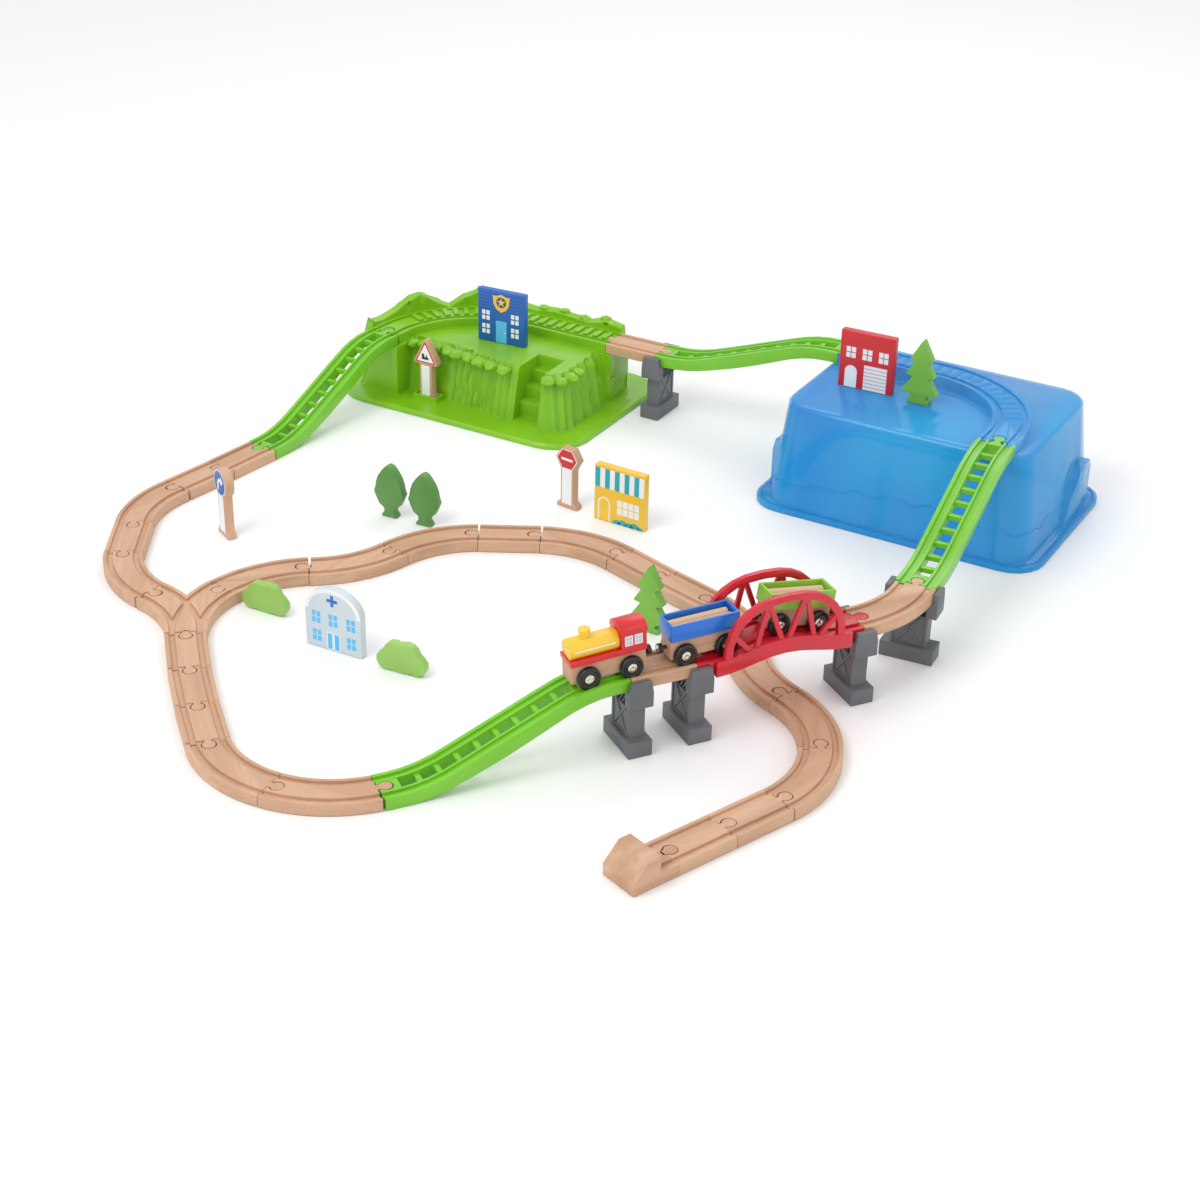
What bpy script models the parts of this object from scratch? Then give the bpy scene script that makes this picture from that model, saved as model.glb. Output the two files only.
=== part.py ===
"""Wooden train set: a layout of short wooden track with a raised line over a truss bridge,
a hill and a tub that carry the upper curves, a three-part train, and the flat wooden
buildings, trees and signs that stand around it.

Metres, +Z up. The origin is on the floor near the middle of the layout, and the front of
the layout looks along -Y. Headings are in degrees, anticlockwise from +X.
"""

import math

import bmesh
import bpy
from mathutils import Matrix, Vector

MM = 0.001

# Track section
TRACK_WIDTH = 40 * MM
TRACK_HEIGHT = 12 * MM
GAUGE = 26 * MM  # groove centre to groove centre
GROOVE_WIDTH = 6 * MM
GROOVE_DEPTH = 2.8 * MM

# Track pieces, end face to end face
STRAIGHT_LENGTH = 64 * MM
CURVE_RADIUS = 119.5 * MM
CURVE_ANGLE = 45.0
CURVE_STEPS = 6
BUFFER_LENGTH = 47.6 * MM
BUFFER_BLOCK = 28.8 * MM  # the raised part, from the back
BUFFER_SLOPE = 16.3 * MM
BUFFER_HEIGHT = 28.8 * MM

# The plug on one end of a piece and the socket in the other
GAP = 0.3 * MM  # between pieces that touch
PLUG_RADIUS = 6 * MM
PLUG_NECK = 6.6 * MM
PLUG_CENTRE = 7.8 * MM  # from the end face to the middle of the round head
SOCKET_PLAY = 1.1 * MM  # all round the plug
SOCKET_SHIFT = 0.9 * MM  # the socket sits this much nearer its end face than the plug reaches
PLUG_SEGMENTS = 10

# Heights
PIER_SEAT = 65.7 * MM
DECK_BASE = PIER_SEAT + GAP
TUB_HEIGHT = 120 * MM
HILL_PLATEAU = 68 * MM

# Sloping pieces: one moulding, so the length along the slope is the same for all
RAMP_LENGTH = 236 * MM
RAMP_LEVEL = 13 * MM  # level stretch at each end
RAMP_EASE = 0.26  # share of the sloping run in each of its two end curves
RAMP_BELLY = 4 * MM  # extra depth halfway
RAMP_WALL = 4 * MM
RAMP_INNER_RAIL = 2.5 * MM
RAMP_RUNGS = 10
RAMP_RUNG = 5 * MM
RAMP_STEPS = 14
RAMP_END = 19 * MM  # length of the closed block that holds the socket

# Bridge
BRIDGE_LENGTH = 170 * MM
BRIDGE_APPROACH = 16 * MM  # level stretch at each end, without side beams
BRIDGE_RISE = 10 * MM
BRIDGE_BEAM = 6 * MM
BRIDGE_BEAM_DROP = 13.6 * MM
BRIDGE_BEAM_LIP = 1.5 * MM
BRIDGE_ARCH = 55 * MM  # crown above the ends of the deck
BRIDGE_ARCH_INSET = 8 * MM  # from the beam's end to the foot of the arch
BRIDGE_ARCH_BAR = 7 * MM
BRIDGE_STEPS = 10

# Piers
PIER_LENGTH = 53 * MM  # across the track
PIER_WIDTH = 23 * MM  # along the track
PIER_FOOT = 15.6 * MM
PIER_CAP = 15.5 * MM
PIER_LEG_LENGTH = 35 * MM
PIER_LEG_WIDTH = 14.4 * MM
PIER_EAR = 10 * MM
PIER_WEB = 8 * MM  # what is left between the two pockets of the cap
PIER_POST = 1.5 * MM
PIER_TOP = 1.6 * MM  # plate under the track
PIER_EAR_CLEARANCE = 1 * MM  # between an upstand and the side of the track

# Tub and hill: one footprint
BOX_LENGTH = 328 * MM
BOX_WIDTH = 236 * MM
TUB_CORNER = 37 * MM
TUB_TOP_LENGTH = 276 * MM
TUB_TOP_WIDTH = 204 * MM
TUB_WALL_FOOT_LENGTH = 300 * MM
TUB_WALL_FOOT_WIDTH = 222 * MM
TUB_SKIN = 2.6 * MM
FLANGE_HEIGHT = 6 * MM
MOULDED_LINE = 48 * MM  # straight moulded track, behind the middle of the box
TUB_BEND = -17 * MM  # where the moulded curve begins along the tub
HILL_BEND = 9 * MM
TUB_TRACK_BACK = 130 * MM  # from the tub's middle to the straight track's end
HILL_TRACK_BACK = 128 * MM
TUB_TAIL = 22.5 * MM  # short straight after the moulded curve
HILL_TAIL = 6.5 * MM
HILL_CORNER = 44 * MM
HILL_SKIN = 4 * MM
STAIR_LEFT = 66 * MM
STAIR_WIDTH = 36 * MM
STAIR_TOP = -20 * MM  # the edge of the plateau at the stairs
STAIR_RUN = 14 * MM
STAIR_RISE = 14.3 * MM  # the lowest step is taller, down to the flange

# Train
WHEEL_RADIUS = 11 * MM
WHEEL_WIDTH = 4.8 * MM
WHEEL_TOP = 2 * WHEEL_RADIUS - GROOVE_DEPTH + GAP  # above the rails
AXLE_RADIUS = 1.6 * MM
AXLE_HOLE_PLAY = 0.8 * MM
WHEELBASE = 40.6 * MM
CHASSIS_WIDTH = 19.6 * MM
CHASSIS_CLEARANCE = 4.2 * MM  # above the rails
ENGINE_LENGTH = 71.5 * MM
ENGINE_DECK = WHEEL_TOP + 2.1 * MM  # top of the wooden chassis above the rails
FOOTPLATE = 5.5 * MM
BODY_WIDTH = 24 * MM
BOILER_WIDTH = 20 * MM
BOILER_HEIGHT = 15.5 * MM
CAB_LENGTH = 24.5 * MM
CAB_HEIGHT = 23 * MM
WAGON_LENGTH = 66 * MM
WAGON_DECK = WHEEL_TOP + 3.5 * MM
TRAY_LENGTH = 67.5 * MM
TRAY_WIDTH = 25 * MM
TRAY_HEIGHT = 16 * MM
TRAY_WALL = 2.5 * MM
LOG_RADIUS = (TRAY_WIDTH - 2 * TRAY_WALL) / 4 - 0.15 * MM
COUPLING_RADIUS = 4.8 * MM
COUPLING_REACH = 8.5 * MM
COUPLING_HEIGHT = 13.5 * MM

# Boards
BOARD_THICKNESS = 9 * MM
SIGN_THICKNESS = 10 * MM
BUILDING_WIDTH = 62 * MM
BUILDING_HEIGHT = 64.5 * MM
SIGN_FOOT_WIDTH = 27 * MM
SIGN_POST = 17 * MM
HILL_SOCKET = 2.6 * MM  # wall of the holder on the hill's flange
CUP_MIDDLE = (-51 * MM, -79 * MM)
CUP_CLEARANCE = 0.5 * MM
CUP_HALF = (
    SIGN_FOOT_WIDTH / 2 + CUP_CLEARANCE + HILL_SOCKET,
    SIGN_THICKNESS / 2 + CUP_CLEARANCE + HILL_SOCKET,
)

BEECH = ("beech", (0.61, 0.38, 0.22), 0.55, 0.0)
GREEN = ("green_plastic", (0.18, 0.50, 0.02), 0.35, 0.0)
RED = ("red_plastic", (0.64, 0.02, 0.03), 0.35, 0.0)
BLUE = ("blue_tub_plastic", (0.01, 0.33, 0.75), 0.2, 0.0)
HILL_GREEN = ("hill_plastic", (0.19, 0.46, 0.01), 0.45, 0.0)
GREY = ("grey_plastic", (0.10, 0.11, 0.12), 0.55, 0.0)
YELLOW = ("yellow_paint", (0.81, 0.53, 0.03), 0.4, 0.0)
RED_PAINT = ("red_paint", (0.62, 0.02, 0.03), 0.4, 0.0)
BLUE_PAINT = ("blue_paint", (0.01, 0.16, 0.62), 0.4, 0.0)
LIME_PAINT = ("lime_paint", (0.24, 0.55, 0.06), 0.4, 0.0)
TREE_GREEN = ("tree_paint", (0.07, 0.25, 0.03), 0.5, 0.0)
BUSH_GREEN = ("bush_paint", (0.24, 0.45, 0.06), 0.5, 0.0)
FIR_GREEN = ("fir_paint", (0.15, 0.40, 0.03), 0.5, 0.0)
PALE_GREY = ("hospital_paint", (0.54, 0.60, 0.62), 0.5, 0.0)
ORANGE = ("shop_paint", (0.75, 0.36, 0.01), 0.5, 0.0)
BLACK = ("wheel_plastic", (0.01, 0.01, 0.01), 0.35, 0.0)

MATERIALS = {}


def remove_scene_objects():
    for thing in list(bpy.data.objects):
        bpy.data.objects.remove(thing)


def material(look):
    name, colour, roughness, metallic = look
    if name not in MATERIALS:
        made = bpy.data.materials.new(name)
        made.use_nodes = True
        shader = made.node_tree.nodes["Principled BSDF"]
        shader.inputs["Base Color"].default_value = (*colour, 1.0)
        shader.inputs["Roughness"].default_value = roughness
        shader.inputs["Metallic"].default_value = metallic
        MATERIALS[name] = made
    return MATERIALS[name]


# ---------------------------------------------------------------- plane geometry


class Pose:
    """A place on the floor plan and the way it faces."""

    def __init__(self, x, y, heading):
        self.spot = Vector((x, y))
        self.heading = heading

    def point(self, ahead, left=0.0):
        a = math.radians(self.heading)
        along = Vector((math.cos(a), math.sin(a)))
        across = Vector((-math.sin(a), math.cos(a)))
        return self.spot + along * ahead + across * left

    def moved(self, ahead, left=0.0, turn=0.0):
        spot = self.point(ahead, left)
        return Pose(spot.x, spot.y, self.heading + turn)

    def reversed(self):
        return Pose(self.spot.x, self.spot.y, self.heading + 180)


def after_piece(pose, kind):
    """The far end of a piece that starts at pose: a straight, or a curve to the left or right."""
    if kind == "straight":
        return pose.moved(STRAIGHT_LENGTH)
    return after_arc(pose, side_of(kind), CURVE_ANGLE)


def side_of(kind):
    return 1 if kind == "left" else -1


def after_arc(pose, side, angle):
    chord = 2 * CURVE_RADIUS * math.sin(math.radians(angle / 2))
    half_turn = math.radians(side * angle / 2)
    return pose.moved(chord * math.cos(half_turn), chord * math.sin(half_turn), side * angle)


def joint_opening(play, width=TRACK_WIDTH):
    """The room between two end faces: wide enough for the inner corners when the plug is turned."""
    return GAP + width / 2 * math.sin(math.radians(abs(play)))


def across_joint(pose, play=0.0, plug_leads=True):
    """From the end of one piece to the start of the next, turned about the plug's round head.

    plug_leads is true where the first piece has the plug and the next one the socket."""
    opening = joint_opening(play)
    if plug_leads:
        head = pose.moved(PLUG_CENTRE, turn=play)
        return head.moved(opening - PLUG_CENTRE)
    head = pose.moved(opening - PLUG_CENTRE, turn=play)
    return head.moved(PLUG_CENTRE)


def piece_samples(pose, kind):
    if kind == "straight":
        return [pose, after_piece(pose, kind)]
    side = side_of(kind)
    return [after_arc(pose, side, CURVE_ANGLE * i / CURVE_STEPS) for i in range(CURVE_STEPS + 1)]


def arc(centre, radius, start, end, steps):
    """Points on an arc, both ends included. Angles in degrees."""
    turns = [math.radians(start + (end - start) * i / steps) for i in range(steps + 1)]
    return [centre + radius * Vector((math.cos(a), math.sin(a))) for a in turns]


def knob(pose, radius, half_neck, centre, steps=PLUG_SEGMENTS):
    """The outline of a plug, or of the socket for one, from the right of its neck to the left."""
    meet = math.degrees(math.asin(half_neck / radius))
    middle = pose.point(centre)
    first = pose.heading - 180 + meet
    last = pose.heading + 180 - meet
    return [
        pose.point(0, -half_neck),
        *arc(middle, radius, first, last, steps),
        pose.point(0, half_neck),
    ]


def plug(pose):
    return knob(pose, PLUG_RADIUS, PLUG_NECK / 2, PLUG_CENTRE)


def socket(pose):
    """pose faces into the piece. The points run from the neck's right to its left."""
    return knob(
        pose, PLUG_RADIUS + SOCKET_PLAY, PLUG_NECK / 2 + SOCKET_PLAY, PLUG_CENTRE - SOCKET_SHIFT
    )


def rounded_rectangle(length, width, radius, steps=5):
    points = []
    for quarter, (sx, sy) in enumerate(((1, 1), (-1, 1), (-1, -1), (1, -1))):
        centre = Vector((sx * (length / 2 - radius), sy * (width / 2 - radius)))
        points += arc(centre, radius, 90 * quarter, 90 * quarter + 90, steps)
    return points


# ---------------------------------------------------------------- solids


def prism(outline, bottom, top):
    shape = bmesh.new()
    # Rounded so that points meant to share a plane do so exactly.
    corners = [shape.verts.new((round(x, 7), round(y, 7), bottom)) for x, y in outline]
    face = shape.faces.new(corners)
    grown = bmesh.ops.extrude_face_region(shape, geom=[face])["geom"]
    risen = [item for item in grown if isinstance(item, bmesh.types.BMVert)]
    bmesh.ops.translate(shape, verts=risen, vec=(0, 0, top - bottom))
    bmesh.ops.recalc_face_normals(shape, faces=shape.faces)
    return shape


def loft(loops):
    """A closed solid through loops of equal length, capped at both ends."""
    shape = bmesh.new()
    rings = [[shape.verts.new(point) for point in loop] for loop in loops]
    for low, high in zip(rings, rings[1:]):
        for i in range(len(low)):
            j = (i + 1) % len(low)
            shape.faces.new((low[i], low[j], high[j], high[i]))
    shape.faces.new(rings[0])
    shape.faces.new(rings[-1])
    bmesh.ops.recalc_face_normals(shape, faces=shape.faces)
    return shape


def box(x, y, z):
    """A block between two values on each axis."""
    outline = [(x[0], y[0]), (x[1], y[0]), (x[1], y[1]), (x[0], y[1])]
    return prism(outline, *z)


def bar(start, end, depth, y):
    """A straight bar in the XZ plane between two points, depth thick, across the y range."""
    along = (Vector(end) - Vector(start)).normalized()
    side = Vector((-along.y, along.x)) * depth / 2
    corners = [Vector(start) - side, Vector(end) - side, Vector(end) + side, Vector(start) + side]
    return loft([[(c.x, level, c.y) for c in corners] for level in y])


def together(shapes):
    """Several shapes that stand clear of each other, as one."""
    whole = bmesh.new()
    for shape in shapes:
        loose = bpy.data.meshes.new("loose")
        shape.to_mesh(loose)
        whole.from_mesh(loose)
        bpy.data.meshes.remove(loose)
    return whole


def upright(shape):
    """Turns an outline drawn in XY, with its thickness in Z, so that it stands up and faces -Y."""
    bmesh.ops.transform(shape, matrix=Matrix.Rotation(math.radians(90), 4, "X"), verts=shape.verts)
    return shape


def lathe(profile, steps):
    """Turns (along, radius) points round the Y axis. The first and last points are on the axis."""
    loops = []
    for along, radius in profile[1:-1]:
        turns = [math.tau * i / steps for i in range(steps)]
        loops.append([(radius * math.cos(a), along, radius * math.sin(a)) for a in turns])
    return loft(loops)


def mesh_of(shape, name="solid"):
    mesh = bpy.data.meshes.new(name)
    shape.to_mesh(mesh)
    shape.free()
    return mesh


def linked(name, mesh):
    thing = bpy.data.objects.new(name, mesh)
    bpy.context.scene.collection.objects.link(thing)
    return thing


def carved(base, joins=(), cuts=()):
    """The base with each of joins united to it and then each of cuts taken out, as one mesh."""
    body = linked("base", mesh_of(base))
    things = [body]
    for operation, shapes in (("UNION", joins), ("DIFFERENCE", cuts)):
        for shape in shapes:
            tool = linked("tool", mesh_of(shape))
            step = body.modifiers.new("step", "BOOLEAN")
            step.operation = operation
            step.solver = "EXACT"
            step.object = tool
            things.append(tool)
    bpy.context.view_layer.update()
    graph = bpy.context.evaluated_depsgraph_get()
    mesh = bpy.data.meshes.new_from_object(body.evaluated_get(graph))
    for thing in things:
        used = thing.data
        bpy.data.objects.remove(thing)
        bpy.data.meshes.remove(used)
    return mesh


def place(name, mesh, look, pose=None, height=0.0, parent=None, smooth=None):
    """One named node, standing on its pose."""
    node = linked(name, mesh)
    if not mesh.materials:
        mesh.materials.append(material(look))
    if smooth is not None:
        mesh.shade_smooth()
        mesh.set_sharp_from_angle(angle=math.radians(smooth))
    if pose is not None:
        node.location = (pose.spot.x, pose.spot.y, height)
        node.rotation_euler = (0, 0, math.radians(pose.heading))
    if parent is not None:
        node.parent = parent
    return node


# ---------------------------------------------------------------- track


def rail_cuts(samples, top, depth=GROOVE_DEPTH):
    """The two grooves along a run of poses, as one tool."""
    first, last = samples[0].moved(-GROOVE_WIDTH), samples[-1].moved(GROOVE_WIDTH)
    run = [first, *samples, last]
    tools = []
    for side in (-1, 1):
        inner = side * (GAUGE - GROOVE_WIDTH) / 2
        outer = side * (GAUGE + GROOVE_WIDTH) / 2
        edge = [p.point(0, inner) for p in run] + [p.point(0, outer) for p in reversed(run)]
        tools.append(prism(edge, top - depth, top + GROOVE_DEPTH))
    return together(tools)


def track_outline(samples, with_socket=True, with_plug=True):
    half = TRACK_WIDTH / 2
    right = [p.point(0, -half) for p in samples]
    left = [p.point(0, half) for p in reversed(samples)]
    ahead = plug(samples[-1]) if with_plug else []
    behind = list(reversed(socket(samples[0]))) if with_socket else []
    return right + ahead + left + behind


def run_of(kinds, plays=()):
    """Samples along joined pieces, in the frame of their first end."""
    pose = Pose(0, 0, 0)
    samples = []
    for i, kind in enumerate(kinds):
        if i:
            pose = across_joint(pose, plays[i - 1])
        piece = piece_samples(pose, kind)
        samples += piece
        pose = piece[-1]
    return samples


def wooden_track(kinds, plays=()):
    samples = run_of(kinds, plays)
    body = prism(track_outline(samples), 0, TRACK_HEIGHT)
    return carved(body, cuts=[rail_cuts(samples, TRACK_HEIGHT)])


def lay_outward(name, pose, kinds, plays, height=0.0):
    """Pieces laid away from pose with the plug at the far end. Returns the far end.

    plays holds the turn at each piece's near joint, the first one being the joint at pose."""
    start = across_joint(pose, plays[0])
    place(name, wooden_track(kinds, plays[1:]), BEECH, start, height)
    end = run_of(kinds, plays[1:])[-1]
    return start.moved(end.spot.x, end.spot.y, end.heading)


def lay_plug_first(name, pose, kinds, plays):
    """Pieces laid away from pose with the plug at the near end. Returns the far end."""
    start = across_joint(pose, plays[0], plug_leads=False)
    end = start
    for i, kind in enumerate(kinds):
        if i:
            end = across_joint(end, plays[i], plug_leads=False)
        end = after_piece(end, kind)
    other_hand = {"left": "right", "right": "left", "straight": "straight"}
    back_kinds = [other_hand[kind] for kind in reversed(kinds)]
    back_plays = [-play for play in reversed(plays[1:])]
    place(name, wooden_track(back_kinds, back_plays), BEECH, end.reversed())
    return end


def switch_track():
    """A Y of two curves from one plug, with a socket at the end of each."""
    start = Pose(0, 0, 0)
    branches = [piece_samples(start, kind) for kind in ("right", "left")]
    half = TRACK_WIDTH / 2
    right_arm, left_arm = branches
    reach = CURVE_RADIUS + half
    inner = CURVE_RADIUS - half
    # The arms' inner edges cross where both circles meet the middle line.
    crotch = math.degrees(math.acos(CURVE_RADIUS / reach))
    steps = CURVE_STEPS
    right_centre, left_centre = start.point(0, -CURVE_RADIUS), start.point(0, CURVE_RADIUS)
    outline = plug(start.reversed())
    outline += arc(right_centre, inner, 90, 90 - CURVE_ANGLE, steps)
    outline += reversed(socket(right_arm[-1].reversed()))
    outline += arc(right_centre, reach, 90 - CURVE_ANGLE, 90 - crotch, 3)
    outline += arc(left_centre, reach, crotch - 90, CURVE_ANGLE - 90, 3)[1:]
    outline += reversed(socket(left_arm[-1].reversed()))
    outline += arc(left_centre, inner, CURVE_ANGLE - 90, -90, steps)
    body = prism(outline, 0, TRACK_HEIGHT)
    cuts = [rail_cuts(samples, TRACK_HEIGHT) for samples in branches]
    ends = [samples[-1] for samples in branches]
    return carved(body, cuts=cuts), ends


def buffer_stop():
    """A short track end with its plug and a block across it that slopes at the back."""
    start = Pose(0, 0, 0)
    samples = [start.moved(BUFFER_BLOCK / 2), start.moved(BUFFER_LENGTH)]
    body = prism(track_outline(samples, with_socket=False), 0, TRACK_HEIGHT)
    profile = [
        (0, 0),
        (0, TRACK_HEIGHT - GAP),
        (BUFFER_SLOPE, BUFFER_HEIGHT),
        (BUFFER_BLOCK, BUFFER_HEIGHT),
        (BUFFER_BLOCK, 0),
    ]
    half = TRACK_WIDTH / 2
    block = loft([[(x, y, z) for x, z in profile] for y in (-half, half)])
    grooves = rail_cuts([start.moved(BUFFER_BLOCK + GROOVE_WIDTH), samples[-1]], TRACK_HEIGHT)
    return carved(body, joins=[block], cuts=[grooves])


def mouth(pose, low, high):
    """A tool that cuts the socket into a piece whose end face is at pose, facing in."""
    root = pose.moved(-1 * MM)
    half = PLUG_NECK / 2 + SOCKET_PLAY
    return prism([root.point(0, -half), *socket(pose), root.point(0, half)], low, high)


# ---------------------------------------------------------------- sloping pieces


def ease(share):
    """Height share of an S slope: parabolic ends and a straight middle."""
    slope = 1 / (1 - RAMP_EASE)
    if share < RAMP_EASE:
        return slope * share * share / (2 * RAMP_EASE)
    if share > 1 - RAMP_EASE:
        return 1 - slope * (1 - share) ** 2 / (2 * RAMP_EASE)
    return slope * (share - RAMP_EASE / 2)


def slope_share(x, run):
    """How far x is along the sloping stretch between a ramp's level ends, from 0 to 1."""
    return min(max((x - RAMP_LEVEL) / (run - 2 * RAMP_LEVEL), 0.0), 1.0)


def ramp_run(rise):
    return math.sqrt(RAMP_LENGTH**2 - rise**2)


def ramp_depth(share):
    return TRACK_HEIGHT + RAMP_BELLY * math.sin(math.pi * share) ** 2


def rail_section(top, depth, side):
    """One side of a moulded ramp: outer wall, groove and inner rail, as (y, z) points."""
    half = TRACK_WIDTH / 2
    groove_in = (GAUGE - GROOVE_WIDTH) / 2
    floor = top - GROOVE_DEPTH
    points = [
        (half, top - depth),
        (half, top),
        (half - RAMP_WALL, top),
        (half - RAMP_WALL, floor),
        (groove_in, floor),
        (groove_in, top),
        (groove_in - RAMP_INNER_RAIL, top),
        (groove_in - RAMP_INNER_RAIL, top - depth),
    ]
    return [(side * y, z) for y, z in points]


def ramp(low_base, high_base, run=None, plug_at_foot=False):
    """A ladder-like ramp from its foot at x = 0, socket at the foot and plug at the head.

    Its z runs from low_base to high_base, the undersides of its two ends."""
    rise = high_base - low_base
    run = ramp_run(rise) if run is None else run
    sloping = run - 2 * RAMP_LEVEL
    stations = [RAMP_LEVEL + sloping * i / RAMP_STEPS for i in range(RAMP_STEPS + 1)]
    sides = []
    for side in (-1, 1):
        loops = []
        for x in [0, *stations, run]:
            share = slope_share(x, run)
            top = low_base + TRACK_HEIGHT + rise * ease(share)
            section = rail_section(top, ramp_depth(share), side)
            loops.append([(x, y, z) for y, z in section])
        sides.append(loft(loops))
    inside = (GAUGE - GROOVE_WIDTH) / 2 - RAMP_INNER_RAIL / 2
    rungs = []
    first, last = RAMP_END, run - RAMP_END / 2
    for i in range(RAMP_RUNGS):
        x = first + (last - first) * (i + 1) / (RAMP_RUNGS + 1)
        level = low_base + TRACK_HEIGHT + rise * ease(slope_share(x, run)) - GROOVE_DEPTH
        rungs.append(
            box((x - RAMP_RUNG / 2, x + RAMP_RUNG / 2), (-inside, inside), (level - RAMP_RUNG, level))
        )
    foot = Pose(0, 0, 0)
    if plug_at_foot:
        foot_outline = [(RAMP_END / 2, -inside), (RAMP_END / 2, inside), *plug(foot.reversed())]
    else:
        mouth = list(reversed(socket(foot)))
        foot_outline = [(0, -inside), (RAMP_END, -inside), (RAMP_END, inside), (0, inside), *mouth]
    head = Pose(run, 0, 0)
    head_outline = [(run - RAMP_END / 2, -inside), *plug(head), (run - RAMP_END / 2, inside)]
    ends = [
        prism(foot_outline, low_base, low_base + TRACK_HEIGHT - GAP),
        prism(head_outline, high_base, high_base + TRACK_HEIGHT - GAP),
    ]
    return carved(sides[0], joins=[together(rungs), together(ends), sides[1]])


# ---------------------------------------------------------------- bridge


def bridge_rise(x):
    """How far the deck stands above its ends at x."""
    share = (x - BRIDGE_APPROACH) / (BRIDGE_LENGTH - 2 * BRIDGE_APPROACH)
    if share <= 0 or share >= 1:
        return 0.0
    return BRIDGE_RISE * math.sin(math.pi * share) ** 2


def bridge_stations():
    span = BRIDGE_LENGTH - 2 * BRIDGE_APPROACH
    inner = [BRIDGE_APPROACH + span * i / BRIDGE_STEPS for i in range(BRIDGE_STEPS + 1)]
    return inner


def deck_section(top):
    half = TRACK_WIDTH / 2
    groove_out = (GAUGE + GROOVE_WIDTH) / 2
    groove_in = (GAUGE - GROOVE_WIDTH) / 2
    floor = top - GROOVE_DEPTH
    right = [
        (half, top - TRACK_HEIGHT),
        (half, top),
        (groove_out, top),
        (groove_out, floor),
        (groove_in, floor),
        (groove_in, top),
    ]
    return right + [(-y, z) for y, z in reversed(right)]


def arch_point(angle, inset):
    """A point on the arch's outline, inset from its outer edge; angle 0 is the far foot."""
    middle = BRIDGE_LENGTH / 2
    half_span = middle - BRIDGE_APPROACH - BRIDGE_ARCH_INSET - inset
    height = BRIDGE_ARCH - inset
    power = 2 / 2.4
    c, s = math.cos(angle), math.sin(angle)
    x = middle + math.copysign(half_span * abs(c) ** power, c)
    return x, TRACK_HEIGHT + height * abs(s) ** power


def bridge_truss(y):
    """The arch of one side and its diagonals."""
    turns = [math.pi * i / 14 for i in range(15)]
    loops = []
    for a in turns:
        outer, inner = arch_point(a, 0), arch_point(a, BRIDGE_ARCH_BAR)
        corners = ((outer, y[0]), (outer, y[1]), (inner, y[1]), (inner, y[0]))
        loops.append([(spot[0], side, spot[1]) for spot, side in corners])
    arch = loft(loops)
    middle = BRIDGE_LENGTH / 2
    brace = 4.6 * MM
    inset = 1 * MM
    inner_y = (y[0] + inset, y[1] - inset)
    half = middle - BRIDGE_APPROACH - BRIDGE_ARCH_INSET
    bottoms = [middle - half / 2, middle, middle + half / 2]
    tops = [middle - half / 3.2, middle + half / 3.2]
    crown = TRACK_HEIGHT + BRIDGE_ARCH - BRIDGE_ARCH_BAR / 2
    lean = TRACK_HEIGHT + BRIDGE_ARCH * 0.5
    pairs = [
        ((middle - half * 0.92, lean), (bottoms[0], TRACK_HEIGHT)),
        ((bottoms[0], TRACK_HEIGHT), (tops[0], crown)),
        ((tops[0], crown), (bottoms[1], TRACK_HEIGHT)),
        ((bottoms[1], TRACK_HEIGHT), (tops[1], crown)),
        ((tops[1], crown), (bottoms[2], TRACK_HEIGHT)),
        ((bottoms[2], TRACK_HEIGHT), (middle + half * 0.92, lean)),
    ]
    return arch, [bar(a, b, brace, inner_y) for a, b in pairs]


def truss_bridge():
    """Deck, side beams and arches, from its socket end at x = 0, standing on z = 0."""
    half = TRACK_WIDTH / 2
    stations = bridge_stations()
    loops = []
    for x in [0, *stations, BRIDGE_LENGTH]:
        top = TRACK_HEIGHT + bridge_rise(x)
        loops.append([(x, y, z) for y, z in deck_section(top)])
    deck = loft(loops)
    joins = []
    for side in (-1, 1):
        inner, outer = half - 0.5 * MM, half + BRIDGE_BEAM
        y = (side * inner, side * outer)
        beam_loops = []
        for x in stations:
            top = TRACK_HEIGHT + bridge_rise(x)
            low, high = top - BRIDGE_BEAM_DROP, top + BRIDGE_BEAM_LIP
            beam_loops.append([(x, y[0], low), (x, y[1], low), (x, y[1], high), (x, y[0], high)])
        joins.append(loft(beam_loops))
        truss_y = tuple(sorted((side * (half + 0.6 * MM), side * (half + BRIDGE_BEAM - 0.4 * MM))))
        arch, diagonals = bridge_truss(truss_y)
        joins.append(arch)
        joins += diagonals
    end = Pose(BRIDGE_LENGTH, 0, 0)
    root = end.moved(-1 * MM)
    tongue = prism(
        [root.point(0, -PLUG_NECK / 2), *plug(end), root.point(0, PLUG_NECK / 2)], 0, TRACK_HEIGHT
    )
    opening = mouth(Pose(0, 0, 0), -1 * MM, TRACK_HEIGHT + 1 * MM)
    return carved(deck, joins=[tongue, *joins], cuts=[opening])


# ---------------------------------------------------------------- piers


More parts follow.
